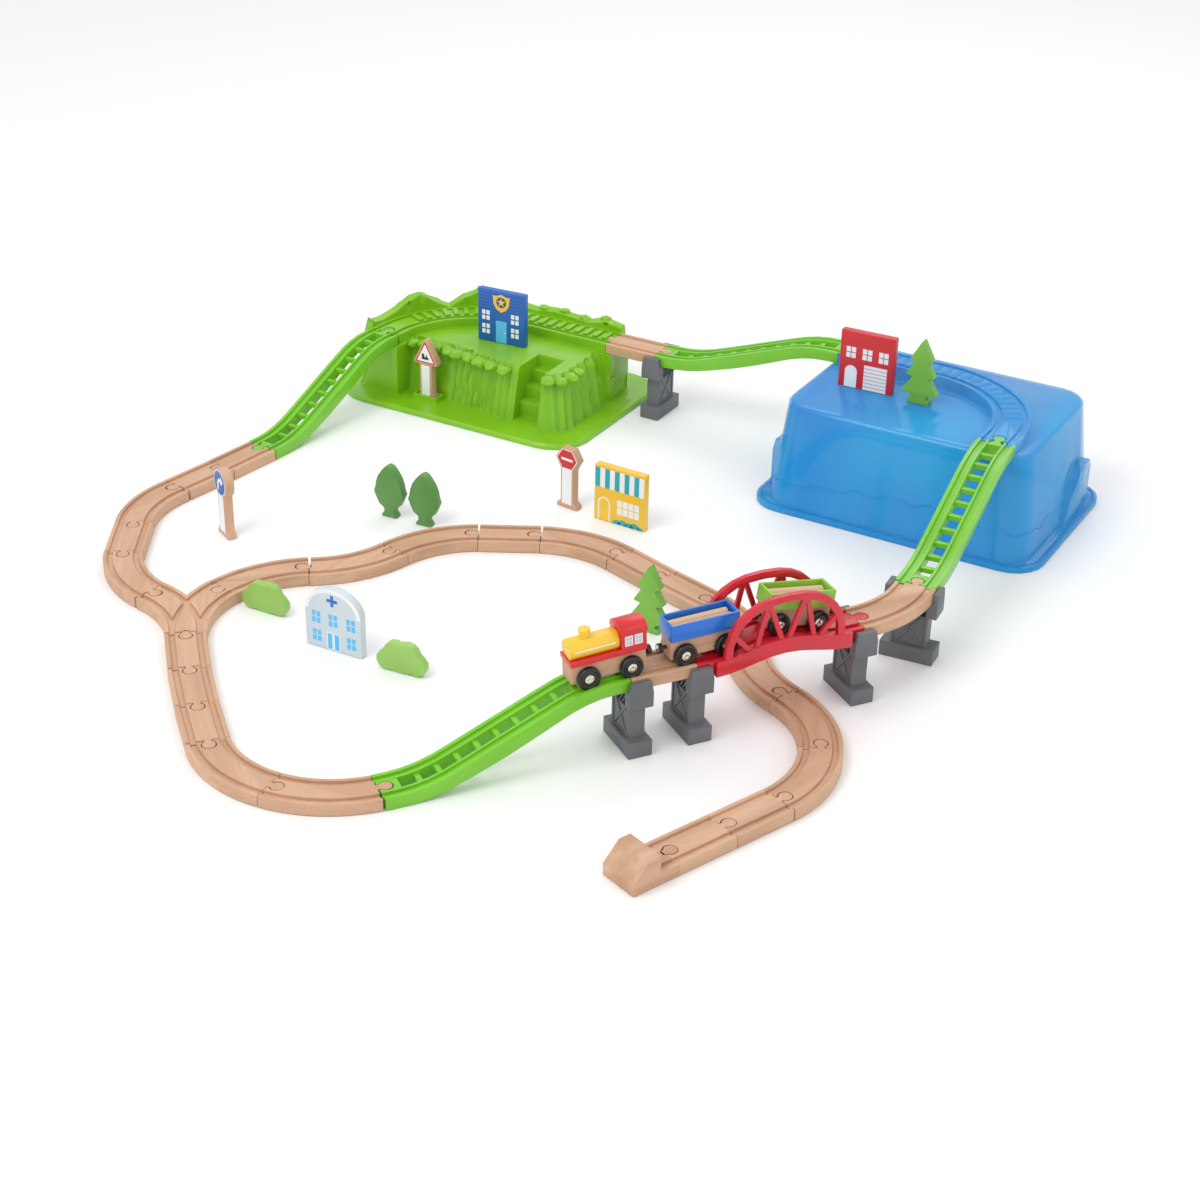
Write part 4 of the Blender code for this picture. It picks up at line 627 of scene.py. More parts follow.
PRINT_WHITE = paint("print_white", (0.86, 0.88, 0.88), (0.80, 0.82, 0.83), 0.4)
PRINT_SKY = paint("print_sky", (0.10, 0.50, 0.85), (0.08, 0.45, 0.80), 0.4)
PRINT_TEAL = paint("print_teal", (0.01, 0.42, 0.48), (0.008, 0.37, 0.43), 0.4)
PRINT_NAVY = paint("print_navy", (0.006, 0.07, 0.27), (0.005, 0.06, 0.24), 0.4)
PRINT_GOLD = paint("print_gold", (0.88, 0.56, 0.03), (0.82, 0.5, 0.02), 0.4)
PRINT_RED = paint("print_red", (0.62, 0.01, 0.02), (0.55, 0.008, 0.016), 0.4)
PRINT_BLACK = paint("print_black", (0.015, 0.013, 0.012), (0.01, 0.01, 0.01), 0.4)
PRINT_BLUE = paint("print_blue", (0.008, 0.16, 0.55), (0.006, 0.14, 0.5), 0.4)
PRINT_PANE = paint("print_pane", (0.62, 0.60, 0.66), (0.56, 0.55, 0.61), 0.4)
PRINT_CREAM = paint("print_cream", (0.88, 0.80, 0.55), (0.82, 0.74, 0.5), 0.4)

# ---------------------------------------------------------------- wooden track

EASE = 0.7 * MM
END_EASE = 0.45 * MM


def track_section():
    """The bar's section, its corners eased; the grooves have narrow lips and a flat floor."""
    half = TRACK_WIDTH / 2
    outer, inner = (GAUGE + GROOVE_WIDTH) / 2, (GAUGE - GROOVE_WIDTH) / 2
    lip, floor = 0.35 * MM, TRACK_HEIGHT - GROOVE_DEPTH
    right = [
        (half - EASE, 0),
        (half, EASE),
        (half, TRACK_HEIGHT - EASE),
        (half - EASE, TRACK_HEIGHT),
        (outer + lip, TRACK_HEIGHT),
        (outer, TRACK_HEIGHT - lip),
        (outer - lip, floor),
        (inner + lip, floor),
        (inner, TRACK_HEIGHT - lip),
        (inner - lip, TRACK_HEIGHT),
    ]
    return right + [(-y, z) for y, z in reversed(right)]


def samples_of(kind, length=STRAIGHT_LENGTH):
    if kind == "straight":
        return [Pose(0, 0, 0), Pose(length, 0, 0)]
    side = 1 if kind == "left" else -1
    start = Pose(0, 0, 0)
    return [after_arc(start, side, CURVE_ANGLE * i / CURVE_STEPS) for i in range(CURVE_STEPS + 1)]


def run_body(samples):
    """The grooved bar along the samples."""
    return swept(track_section(), [pose.matrix() for pose in samples])


def eased_prism(outline, bottom, top, ease=0.5 * MM):
    shape = prism(outline, bottom, top)
    rims = [e for e in shape.edges if abs(e.verts[0].co.z - e.verts[1].co.z) < 1e-7]
    return bevelled(shape, rims, ease, 2, clamped=False)


def ease_ends(shape, poses):
    """Rounds the edges of the faces that lie in the given end planes."""
    edges = set()
    for pose in poses:
        normal = pose.point(1) - pose.spot
        for face in shape.faces:
            middle = face.calc_center_median()
            off = (Vector((middle.x, middle.y)) - pose.spot).dot(normal)
            flat = abs(face.normal.z) < 0.1 and abs(face.normal.xy.dot(normal)) > 0.99
            if flat and abs(off) < 1e-5:
                edges.update(face.edges)
    rims = [e for e in edges if e.is_valid and e.calc_face_angle(0) > 0.6]
    return bevelled(shape, rims, END_EASE, 1)


def track_shape(kind, sockets=(0,), plugs=(1,)):
    """A piece of track. sockets and plugs name its ends: 0 at the start, 1 at the far end."""
    samples = samples_of(kind)
    ends = (samples[0], samples[-1].reversed())
    mouths = [prism(socket_outline(ends[i]), -1 * MM, TRACK_HEIGHT + 1 * MM) for i in sockets]
    body = carved(run_body(samples), cuts=mouths)
    ease_ends(body, ends)
    tongues = [eased_prism(plug_outline(ends[i].reversed()), 0, TRACK_HEIGHT) for i in plugs]
    return carved(body, joins=tongues)


def switch_shape():
    start = Pose(0, 0, 0)
    arms = [samples_of("right"), samples_of("left")]
    bodies = [prism(plain_outline(arm), 0, TRACK_HEIGHT) for arm in arms]
    floor = TRACK_HEIGHT - GROOVE_DEPTH
    grooves = [groove_tool(arm, side, floor) for arm in arms for side in (-1, 1)]
    mouths = [prism(socket_outline(arm[-1].reversed()), -MM, TRACK_HEIGHT + MM) for arm in arms]
    body = carved(bodies[0], joins=[bodies[1]], cuts=[*grooves, *mouths])
    soften(body, END_EASE, 1, 50)
    tongue = eased_prism(plug_outline(start.reversed()), 0, TRACK_HEIGHT)
    return carved(body, joins=[tongue])


def plain_outline(samples):
    half = TRACK_WIDTH / 2
    right = [pose.point(0, -half) for pose in samples]
    return right + [pose.point(0, half) for pose in reversed(samples)]


def groove_tool(samples, side, floor):
    run = [samples[0].moved(-GROOVE_WIDTH), *samples, samples[-1].moved(GROOVE_WIDTH)]
    inner = side * (GAUGE - GROOVE_WIDTH) / 2
    outer = side * (GAUGE + GROOVE_WIDTH) / 2
    edge = [p.point(0, inner) for p in run] + [p.point(0, outer) for p in reversed(run)]
    return prism(edge, floor, TRACK_HEIGHT + GROOVE_DEPTH)


def buffer_shape():
    start = Pose(0, 0, 0)
    samples = [start.moved(BUFFER_BLOCK - 1 * MM), start.moved(BUFFER_LENGTH)]
    body = run_body(samples)
    half, low = TRACK_WIDTH / 2, TRACK_HEIGHT - GAP
    slope = [(0, 0), (0, low), (BUFFER_SLOPE, BUFFER_TOP)]
    stop = prism([*slope, (BUFFER_BLOCK, BUFFER_TOP), (BUFFER_BLOCK, 0)], -half, half)
    moved(stop, Matrix.Rotation(math.radians(90), 4, "X"))
    soften(stop, 0.9 * MM, 3)
    tongue = eased_prism(plug_outline(samples[-1]), 0, TRACK_HEIGHT)
    return carved(stop, joins=[body, tongue])


def build_track(laid, spots):
    shapes = {kind: track_shape(kind) for kind in ("straight", "left", "right")}
    count = {}
    for item in laid:
        count[item.node] = count.get(item.node, 0) + 1
        name = f"track_{item.node}_{count[item.node]}"
        place = item.pose.matrix(item.height)
        piece(name, shapes[item.kind].copy(), BEECH, [item.node], place, 35)
    double = track_shape("straight", sockets=(), plugs=(0, 1))
    for name, shape, node, place in (
        ("track_hill_straight", double, "hill_straight", spots["hill_straight"].matrix(DECK_BASE)),
        ("track_switch", switch_shape(), "switch_track", spots["switch"].matrix()),
        ("track_buffer", buffer_shape(), "buffer_stop", spots["buffer"].matrix()),
    ):
        piece(name, shape, BEECH, [node], place, 35)


# ---------------------------------------------------------------- ramps, bridge, piers


def refined(name, node, look, width):
    """A CAD node's own shape with its edges rounded."""
    piece(name, soften(cad_copy(node), width), look, [node])


def across(pose, ahead, left, height, size, edge):
    """A small bar at a point of a pose, long across it."""
    bar = block(*[(-length / 2, length / 2) for length in size], edge, 1)
    return moved(bar, pose.matrix() @ Matrix.Translation((ahead, left, height)))


def along_run(samples, start, step, stop):
    """Poses at even distances along a run of samples."""
    found, walked, target = [], 0.0, start
    for here, there in zip(samples, samples[1:]):
        length = (there.spot - here.spot).length
        while target <= walked + length and target <= stop:
            share = (target - walked) / length
            turn = (there.heading - here.heading) * share
            found.append(here.moved(length * share, turn=turn))
            target += step
        walked += length
    return found


def sleepers(samples, top, stop):
    poses = along_run(samples, 9 * MM, 12.5 * MM, stop)
    size = (6 * MM, GAUGE - GROOVE_WIDTH - 1.6 * MM, 2.4 * MM)
    return [across(pose, 0, 0, top, size, 0.4 * MM) for pose in poses]


def rounded_ring(length, width, corner, steps=10):
    x, y = length / 2 - corner, width / 2 - corner
    ring = []
    for spot, start in (((x, -y), -90), ((x, y), 0), ((-x, y), 90), ((-x, -y), 180)):
        ring += arc(spot, corner, start, start + 90, steps)
    return ring


def wall_line(first, last, width, steps=260):
    """A bead at the waterline, round the tub's leaning walls from one share of them to another."""
    foot = rounded_ring(300 * MM, 222 * MM, 34 * MM)
    top = rounded_ring(276 * MM, 204 * MM, 32 * MM)
    lengths = [(b - a).length for a, b in zip(foot, foot[1:] + foot[:1])]
    whole = sum(lengths)
    middle_foot = FLANGE_HEIGHT + GAP

    def spot(share):
        left = (share % 1.0) * whole
        index = 0
        while left > lengths[index] and index < len(lengths) - 1:
            left -= lengths[index]
            index += 1
        part = left / lengths[index]
        after = (index + 1) % len(foot)
        z = waterline(share)
        rise = (z - middle_foot) / (TUB_HEIGHT - 3 * MM - middle_foot)
        low = foot[index].lerp(foot[after], part)
        high = top[index].lerp(top[after], part)
        flat = low.lerp(high, rise)
        return Vector((flat.x, flat.y, z))

    spots = [spot(first + (last - first) * i / steps) for i in range(steps + 1)]
    places = []
    for i, here in enumerate(spots):
        way = (spots[min(i + 1, steps)] - spots[max(i - 1, 0)]).normalized()
        out = Vector((way.y, -way.x, 0)).normalized()
        up = way.cross(-out).normalized()
        turn = Matrix((way, out, up)).transposed().to_4x4()
        places.append(Matrix.Translation(here) @ turn)
    half = width / 2
    lower = [(-0.3 * MM, -half), (0.5 * MM, -half * 0.6)]
    section = [*lower, (0.8 * MM, 0), *[(out, -up) for out, up in reversed(lower)]]
    return swept(section, places)


def waterline(share):
    """Height of the moulded line: it dips along the front and jags a little."""
    wave = math.cos(math.tau * (share * 2 + 0.18)) * 9 + math.sin(math.tau * share * 23) * 1.2
    jag = noise.noise(Vector((share * 60, 0.3, 0))) * 4.5
    return (36 + wave + jag) * MM


def tub_details(tub):
    place = tub.matrix()
    line = wall_line(0.01, 0.985, 1.6 * MM)
    piece("tub_waterline", line, TUB_LINE, (), place)
    rail_top = TUB_HEIGHT + GAP + TRACK_HEIGHT
    bars = sleepers(TUB_TRACK, rail_top - 0.7 * MM, 0.26)
    piece("tub_sleepers", together(bars), TUB_LINE, (), place)
    rim = []
    outer = rounded_ring(320 * MM, 228 * MM, 34 * MM, 12)
    outer.append(outer[0])
    spots = [Vector((p.x, p.y, FLANGE_HEIGHT)) for p in outer]
    for here, there in zip(spots, spots[1:]):
        way = there - here
        turn = Matrix.Rotation(math.atan2(way.y, way.x), 4, "Z")
        stub = block((0, way.length), (-1.1 * MM, 1.1 * MM), (-0.5 * MM, 1.1 * MM), 0.3 * MM, 1)
        rim.append(moved(stub, Matrix.Translation(here) @ turn))
    piece("tub_flange_bead", together(rim), TUB_LINE, (), place)


def pier_shape():
    """The moulded pier with its posts, crossed braces and slanted ribs."""
    shape = cad_copy("pier_1")
    moved(shape, PIER_PLACES[1].inverted())
    soften(shape, 0.7 * MM, 2, 25)
    extras = []
    low, high, face = 15.6 * MM, 50.2 * MM, 7.2 * MM
    upright, level = (low, high), (-15 * MM, 15 * MM)
    rise, run = high - low - 5 * MM, 25 * MM
    reach = math.hypot(rise, run)
    rib_tilt = Matrix.Rotation(math.radians(32), 4, "X")
    for side in (-1, 1):
        x = sorted((side * (face - 0.6 * MM), side * (face + 0.9 * MM)))
        for y in (-16, 16):
            extras.append(block(x, ((y - 1.5) * MM, (y + 1.5) * MM), upright, 0.3 * MM, 1))
        for z in (low + 1.6 * MM, high - 1.6 * MM):
            extras.append(block(x, level, (z - 1.3 * MM, z + 1.3 * MM), 0.3 * MM, 1))
        for way in (-1, 1):
            bar = block(x, (-reach / 2, reach / 2), (-1.3 * MM, 1.3 * MM), 0.3 * MM, 1)
            tilt = Matrix.Rotation(way * math.atan2(rise, run), 4, "X")
            extras.append(moved(bar, Matrix.Translation((0, 0, (low + high) / 2)) @ tilt))
        rib_x = sorted((side * 3.6 * MM, side * 10.6 * MM))
        for i in range(6):
            rib = block(rib_x, (-0.6 * MM, 0.6 * MM), (-8.4 * MM, 8.4 * MM))
            y = (i - 2.5) * 5.2 * MM
            extras.append(moved(rib, Matrix.Translation((0, y, 57.2 * MM)) @ rib_tilt))
    return together([shape, *extras])


def rough_rock(shape, hill):
    """Slices the hill finely and pushes its walls about, away from the track and the sign."""
    place = hill.matrix()
    moved(shape, place.inverted())
    for axis, first, last in ((0, -160, 160), (1, -114, 114), (2, 9, 99)):
        way = Vector([1.0 if i == axis else 0.0 for i in range(3)])
        for step in range(first, last, 6):
            every = shape.verts[:] + shape.edges[:] + shape.faces[:]
            spot = way * (step + 0.5) * MM
            bmesh.ops.bisect_plane(shape, geom=every, dist=1e-6, plane_co=spot, plane_no=way)
    bmesh.ops.remove_doubles(shape, verts=shape.verts[:], dist=0.02 * MM)
    bmesh.ops.triangulate(shape, faces=shape.faces[:])
    shape.normal_update()
    run = along_run(HILL_TRACK, 0.0, 6 * MM, 1.0)
    moves = []
    for vertex in shape.verts:
        x, y, z = vertex.co / MM
        if z < 9 or (36 < x < 132 and y < -12) or (abs(x + 51) < 20 and y < -66):
            continue
        if vertex.normal.z < -0.4:
            continue
        flat = vertex.co.xy
        room = min((flat - pose.spot).length for pose in run) / MM
        share = min(max((room - 23) / 6, 0), 1)
        if z < 64 and x > -80:
            share = 1.0 if room > 23 or z < 50 else share
        if x < -84 and -62 < y and z < 69:
            share = 0.0
        if z > 86:
            share = 1.2
        flute = noise.noise(Vector((x * 0.14, y * 0.14, z * 0.02)))
        lump = noise.noise(Vector((x, y, z)) * 0.07 + Vector((5, 9, 2)))
        strength = 0.4 if vertex.normal.z > 0.8 else 2.3
        moves.append((vertex, vertex.normal * (flute * 0.7 + lump * 0.9) * strength * share * MM))
    for vertex, way in moves:
        vertex.co += way
        vertex.co.z = min(vertex.co.z, HILL_TOP)
    open_edges = [edge for edge in shape.edges if edge.is_boundary]
    bmesh.ops.holes_fill(shape, edges=open_edges, sides=0)
    bmesh.ops.recalc_face_normals(shape, faces=shape.faces[:])
    return moved(shape, place)


# Lumps of rock on the hill in its own millimetres: x, y and radius.
EDGE_LUMPS = (
    (-82, -63, 8), (-66, -61.5, 9), (-50, -61, 8), (-34, -62, 9), (-19, -64.5, 9.5),
    (-2, -67, 9), (15, -70, 10), (33, -72, 9.5), (52, -76, 9),
    (111, -75, 9), (124, -68, 9), (128.5, -52, 9), (129, -35, 8.5),
)
RIDGE_LUMPS = (
    (-128, 40, 9), (-114, 60, 10), (-96, 72, 9), (-62, 79, 9), (-40, 80, 10),
    (-14, 80, 9), (18, 80, 10), (46, 80, 9), (74, 80, 10), (102, 79, 9),
)


def boulder(x, y, z, radius, tall):
    """A lump of rock, in millimetres, squashed and knocked about."""
    lump = bmesh.new()
    bmesh.ops.create_icosphere(lump, subdivisions=3, radius=1)
    for vertex in lump.verts:
        push = noise.noise(vertex.co * 1.3 + Vector((x, y, z)) * 0.37)
        vertex.co *= 1 + 0.35 * push
    size = Matrix.Diagonal((radius * MM, radius * 0.8 * MM, tall * MM, 1))
    return moved(lump, Matrix.Translation(Vector((x, y, z)) * MM) @ size)


def crest(tree, hill, x, y):
    """Where the hill is highest within 28 mm in front of or behind a spot: y in mm, z in metres."""
    best = (y, 0.0)
    for aside in range(-28, 29, 2):
        above = hill.matrix() @ Vector((x * MM, (y + aside) * MM, 1))
        hit = tree.ray_cast(above, Vector((0, 0, -1)))[0]
        if hit is not None and hit.z > best[1]:
            best = (y + aside, hit.z)
    return best


def rock_lumps(hill, rock):
    """Worn rock along the plateau's edge and on the ridge, each lump half sunk in the hill."""
    tree = BVHTree.FromBMesh(rock)
    lumps = []
    for x, y, radius in EDGE_LUMPS:
        lumps.append(boulder(x, y, 64.4, radius, 4.6 + 0.12 * radius))
    for x, y, radius in RIDGE_LUMPS:
        crest_y, crest_z = crest(tree, hill, x, y)
        lumps.append(boulder(x, crest_y, crest_z / MM - 1.5, radius * 0.75, 4.4))
    shape = together(lumps)
    piece("hill_rock_lumps", shape, HILL_GREEN, (), hill.matrix(), 60)


def hill_details(hill, rock):
    place = hill.matrix()
    rock_lumps(hill, rock)
    rail_top = HILL_PLATEAU + TRACK_HEIGHT
    bars = sleepers(HILL_TRACK, rail_top - 0.6 * MM, 0.262)
    piece("hill_sleepers", together(bars), HILL_GREEN, (), place)
    bricks = []
    for row in range(3):
        for i in range(5):
            x = (-128 + i * 7 + (row % 2) * 3.4) * MM
            z = (40 - row * 9) * MM
            wide, tall = (x, x + 4.2 * MM), (z, z + 2.8 * MM)
            bricks.append(block(wide, (-86 * MM, -81 * MM), tall, 0.5 * MM, 1))
    piece("hill_left_bricks", together(bricks), HILL_GREEN, (), place)
    stones = []
    for i in range(5):
        y = (30 + i * 7.4) * MM
        wide, tall = (y, y + 4.4 * MM), (33 * MM, 37 * MM)
        stones.append(block((131 * MM, 137 * MM), wide, tall, 0.5 * MM, 1))
    piece("hill_right_stones", together(stones), HILL_GREEN, (), place)
    slot = block((150 * MM, 154 * MM), (-58 * MM, 46 * MM), (5.5 * MM, 6.9 * MM), 0.5 * MM, 1)
    piece("hill_flange_rib", slot, HILL_GREEN, (), place)


def build_mouldings():
    for node in ("front_ramp", "tub_ramp", "back_ramp", "hill_ramp"):
        refined(node + "_moulding", node, RAMP_GREEN, 0.5 * MM)
    refined("bridge_moulding", "truss_bridge", BRIDGE_RED, 0.5 * MM)
    shape = pier_shape()
    for number, place in PIER_PLACES.items():
        name = f"pier_moulding_{number}"
        piece(name, shape.copy(), PIER_GREY, [f"pier_{number}"], place)
    shape.free()
    rock = soften(cad_copy("hill"), 0.9 * MM, 2, 30)
    rough_rock(rock, spots["hill"])
    hill_details(spots["hill"], rock)
    piece("hill_moulding", rock, HILL_GREEN, ["hill"], None, 35)
    refined("tub_moulding", "tub", TUB_BLUE, 0.8 * MM)
    tub_details(spots["tub"])


# ---------------------------------------------------------------- train


def ease(share):
    slope = 1 / (1 - RAMP_EASE)
    if share < RAMP_EASE:
        return slope * share * share / (2 * RAMP_EASE)
    if share > 1 - RAMP_EASE:
        return 1 - slope * (1 - share) ** 2 / (2 * RAMP_EASE)
    return slope * (share - RAMP_EASE / 2)


def line_spot(spots, distance):
    """Plan point and height of the track's top, distance from the front ramp's head."""
    top = DECK_BASE + TRACK_HEIGHT
    if distance < 0:
        run = ramp_run(DECK_BASE)
        share = min(max((run + distance - RAMP_LEVEL) / (run - 2 * RAMP_LEVEL), 0), 1)
        return spots["front_ramp"].point(run + distance), TRACK_HEIGHT + DECK_BASE * ease(share)
    if distance < STRAIGHT_LENGTH:
        return spots["raised_straight"].point(distance), top
    beyond = distance - STRAIGHT_LENGTH
    share = (beyond - BRIDGE_APPROACH) / (BRIDGE_LENGTH - 2 * BRIDGE_APPROACH)
    lift = BRIDGE_RISE * math.sin(math.pi * share) ** 2 if 0 < share < 1 else 0.0
    return spots["bridge"].point(beyond), top + lift


def vehicle_place(spots, distance):
    """The place midway between a vehicle's axles, on top of the track, x towards its front."""
    near, near_level = line_spot(spots, distance)
    far, far_level = line_spot(spots, distance + WHEELBASE)
    middle, along = (near + far) / 2, far - near
    pitch = math.atan2(far_level - near_level, along.length)
    place = Matrix.Translation((middle.x, middle.y, (near_level + far_level) / 2))
    heading = math.atan2(along.y, along.x) + math.pi
    return place @ Matrix.Rotation(heading, 4, "Z") @ Matrix.Rotation(pitch, 4, "Y")


AXLE_LEVEL = WHEEL_RADIUS - GROOVE_DEPTH + GAP
COUPLING_LEVEL = 13.5 * MM


def in_mm(*points):
    return [(a * MM, b * MM) for a, b in points]


def wheel_shapes(side):
    """Tyre and hub cap of one wheel, facing outwards along side * Y."""
    inner, outer = GAUGE / 2 - 2.4 * MM, GAUGE / 2 + 2.4 * MM
    rim = WHEEL_RADIUS
    tread = in_mm((-1.1, 0), (-0.3, -0.4), (0, -1.2), (0, -2.6), (-0.9, -3.4))
    face = in_mm((-1.1, 5.2), (-0.6, 4.7), (-0.6, 2))
    dome = in_mm((-0.8, 0), (-0.8, 4.4), (-0.1, 4.3), (0.35, 3.6), (0.55, 2), (0.4, 1.2))
    boss = in_mm((0.1, 0.8), (0.1, 0))
    back = [(inner, 2 * MM), (inner, rim - 0.7 * MM), (inner + 0.7 * MM, rim)]
    tyre = back + [(outer + x, rim + r) for x, r in tread] + [(outer + x, r) for x, r in face]
    cap = [(outer + x, r) for x, r in dome + boss]
    turn = Matrix.Rotation(math.radians(90 * side), 4, "Z")
    return lathe(tyre, 40, turn), lathe(cap, 28, turn)


def build_wheelset(name, place, x):
    spot = place @ Matrix.Translation((x, 0, AXLE_LEVEL))
    tyres, caps = zip(*(wheel_shapes(side) for side in (-1, 1)))
    axle = moved(rod(GAUGE / 2, 1.6 * MM), SIDEWAYS)
    slot, hubs = "wheel_plastic", together([*caps, axle])
    piece(f"{name}_tyres", together(tyres), WHEEL_BLACK, [name], spot, body=name)
    piece(f"{name}_hubs", hubs, HUB_STEEL, (), spot, body=name)


def build_coupling(name, place, x, way):
    """A black cup with a bright magnet, on a short stem."""
    stem = in_mm((-1, 0), (-1, 1.7), (3.6, 1.7), (3.9, 3.6), (4.7, 4.6))
    cup = stem + in_mm((8, 4.7), (8.3, 4.3), (8.3, 3.7), (7.7, 3.6), (7.7, 0))
    disc = in_mm((6.5, 0), (6.5, 3.5), (8, 3.4), (8.3, 3), (8.3, 0))
    facing = Matrix.Rotation(0 if way > 0 else math.pi, 4, "Z")
    turn = Matrix.Translation((x, 0, COUPLING_LEVEL)) @ facing
    piece(f"{name}_cup", lathe(cup, 28, turn), WHEEL_BLACK, (), place)
    piece(f"{name}_magnet", lathe(disc, 28, turn), HUB_STEEL, (), place)


def rod(half, radius, steps=20):
    return lathe([(-half, 0), (-half, radius), (half, radius), (half, 0)], steps)


SIDEWAYS = Matrix.Rotation(math.radians(90), 4, "Z")


def chassis_shape(length, deck):
    half = 9.8 * MM
    body = block((-length / 2, length / 2), (-half, half), (4.2 * MM, deck), 0.7 * MM)
    holes = []
    for x in (-WHEELBASE / 2, WHEELBASE / 2):
        hole = rod(20 * MM, 2.4 * MM)
        holes.append(moved(hole, Matrix.Translation((x, 0, AXLE_LEVEL)) @ SIDEWAYS))
    return carved(body, cuts=holes)


def build_engine(spots):
    place = vehicle_place(spots, -37 * MM)
    length, deck = 71.5 * MM, 21.6 * MM
    chassis = chassis_shape(length, deck)
    piece("engine_beech", chassis, BEECH, ["engine_chassis"], place)
    base, half = deck + GAP, 12 * MM
    full = length / 2 + 0.5 * MM
    plate = block((-full, full), (-half, half), (base, base + 5.5 * MM), 0.8 * MM, 3)
    cab_front = -full + 24.5 * MM
    top = base + 28.5 * MM
    spring = top - 8 * MM
    vault = half_round(0, spring, half, 8 * MM, 20)
    section = [(-half, base + 1 * MM), (half, base + 1 * MM), *vault]
    cab = swept(section, [Matrix.Translation((x, 0, 0)) for x in (-full, cab_front)])
    soften(cab, 0.7 * MM, 2, 35)
    over = half + 0.9 * MM
    eave = top - 9.2 * MM
    crown = half_round(0, spring, over, 8.6 * MM, 20)
    roof_ends = [Matrix.Translation((x, 0, 0)) for x in (-full - 0.8 * MM, cab_front + 0.2 * MM)]
    roof = soften(swept([(-over, eave), (over, eave), *crown], roof_ends), 0.4 * MM, 2, 35)
    red = carved(plate, joins=[cab, roof])
    piece("engine_red_body", red, ENGINE_RED, ["engine_cab"], place, 30)
    lower = base + 5.5 * MM + GAP
    height, wide = 15.5 * MM, 10 * MM
    right = [(0.75, 0), (1, 0.3), (1, 0.62), (0.5, 1)]
    outline = [(wide * y, height * z) for y, z in right]
    outline += [(-y, z) for y, z in reversed(outline)]
    ends = [Matrix.Translation((x, 0, lower)) for x in (cab_front + GAP, full - 1 * MM)]
    drum = soften(swept(outline, ends), 0.55 * MM, 2, 30)
    stack = in_mm((0, 0), (0, 4.7), (6.2, 4.7), (6.7, 5.4), (10.1, 5.4), (10.45, 5), (10.45, 0))
    chimney_turn = Matrix.Translation((17.5 * MM, 0, lower + height - 2 * MM))
    chimney = lathe(stack, 32, chimney_turn @ Matrix.Rotation(math.radians(-90), 4, "Y"))
    yellow = carved(drum, joins=[chimney])
    node = "engine_boiler"
    piece("engine_yellow_boiler", yellow, BOILER_YELLOW, [node], place, 35)
    stripes, panes, frames = [], [], []
    for side in (-1, 1):
        y = sorted((side * (wide - 0.3 * MM), side * (wide + 0.14 * MM)))
        z = lower + height * 0.5
        stripes.append(block((cab_front + 4 * MM, full - 5 * MM), y, (z - 0.9 * MM, z + 0.9 * MM)))
        y = sorted((side * (half - 0.3 * MM), side * (half + 0.16 * MM)))
        inner = sorted((side * (half - 0.3 * MM), side * (half + 0.24 * MM)))
        for x in (-full + 4.2 * MM, -full + 13.4 * MM):
            tall = (top - 20.5 * MM, top - 10.5 * MM)
            frames.append(block((x, x + 7.6 * MM), y, tall, 0.1 * MM, 1))
            for column in (0, 1):
                left = x + 0.9 * MM + column * 3.1 * MM
                for row in (0, 1):
                    low = top - 19.5 * MM + row * 4.2 * MM
                    panes.append(block((left, left + 2.7 * MM), inner, (low, low + 3.7 * MM)))
    piece("engine_stripes", together(stripes), PRINT_CREAM, (), place)
    piece("engine_window_frames", together(frames), PRINT_WHITE, (), place)
    piece("engine_window_panes", together(panes), PRINT_PANE, (), place)
    build_coupling("engine_coupling", place, -length / 2, -1)
    for label, x in (("front", WHEELBASE / 2), ("rear", -WHEELBASE / 2)):
        build_wheelset(f"engine_{label}_wheelset", place, x)


def steps_of(total, steps):
    return [total * i / steps for i in range(steps + 1)]


def build_wagon(spots, name, distance, look):
    place = vehicle_place(spots, distance)
    length, deck = 66 * MM, 23 * MM
    chassis = chassis_shape(length, deck)
    piece(f"{name}_beech", chassis, BEECH, [f"{name}_chassis"], place)
    half_length, half, wall = 33.75 * MM, 12.5 * MM, 2.5 * MM
    base = deck + GAP
    tray = block((-half_length, half_length), (-half, half), (base, base + 16 * MM), 0.6 * MM)
    inside, across_inside = half_length - wall, half - wall
    room = (base + wall, base + 20 * MM)
    hollow = block((-inside, inside), (-across_inside, across_inside), room)
    tray = soften(carved(tray, cuts=[hollow]), 0.35 * MM, 1, 60)
    piece(f"{name}_painted_tray", tray, look, [f"{name}_tray"], place, 30)
    radius, chamfer = 4.85 * MM, 0.5 * MM
    reach = half_length - wall - 2 * MM
    left = [(-reach, 0), (-reach, radius - chamfer), (-reach + chamfer, radius)]
    profile = left + [(-x, r) for x, r in reversed(left)]
    logs = []
    for side in (-1, 1):
        middle = Matrix.Translation((0, side * (radius - 0.1 * MM), base + wall + GAP + radius))
        logs.append(lathe(profile, 32, middle))
    body = f"{name}_logs"
    piece(f"{name}_two_logs", together(logs), LOG_WOOD, [body], place, body=body)
    for label, x, way in (("front", length / 2, 1), ("rear", -length / 2, -1)):
        build_coupling(f"{name}_{label}_coupling", place, x, way)
    for label, x in (("front", WHEELBASE / 2), ("rear", -WHEELBASE / 2)):
        build_wheelset(f"{name}_{label}_wheelset", place, x)


# ---------------------------------------------------------------- boards


def rectangle(x0, x1, z0, z1):
    return [(x0, z0), (x1, z0), (x1, z1), (x0, z1)]


def ellipse(x, z, rx, rz, steps=32):
    turns = [math.tau * i / steps for i in range(steps)]
    return [(x + rx * math.cos(a), z + rz * math.sin(a)) for a in turns]


def half_round(x, z, rx, rz, steps=14):
    """The upper half of an ellipse, from its right to its left."""
    return [(x + rx * math.cos(a), z + rz * math.sin(a)) for a in steps_of(math.pi, steps)]


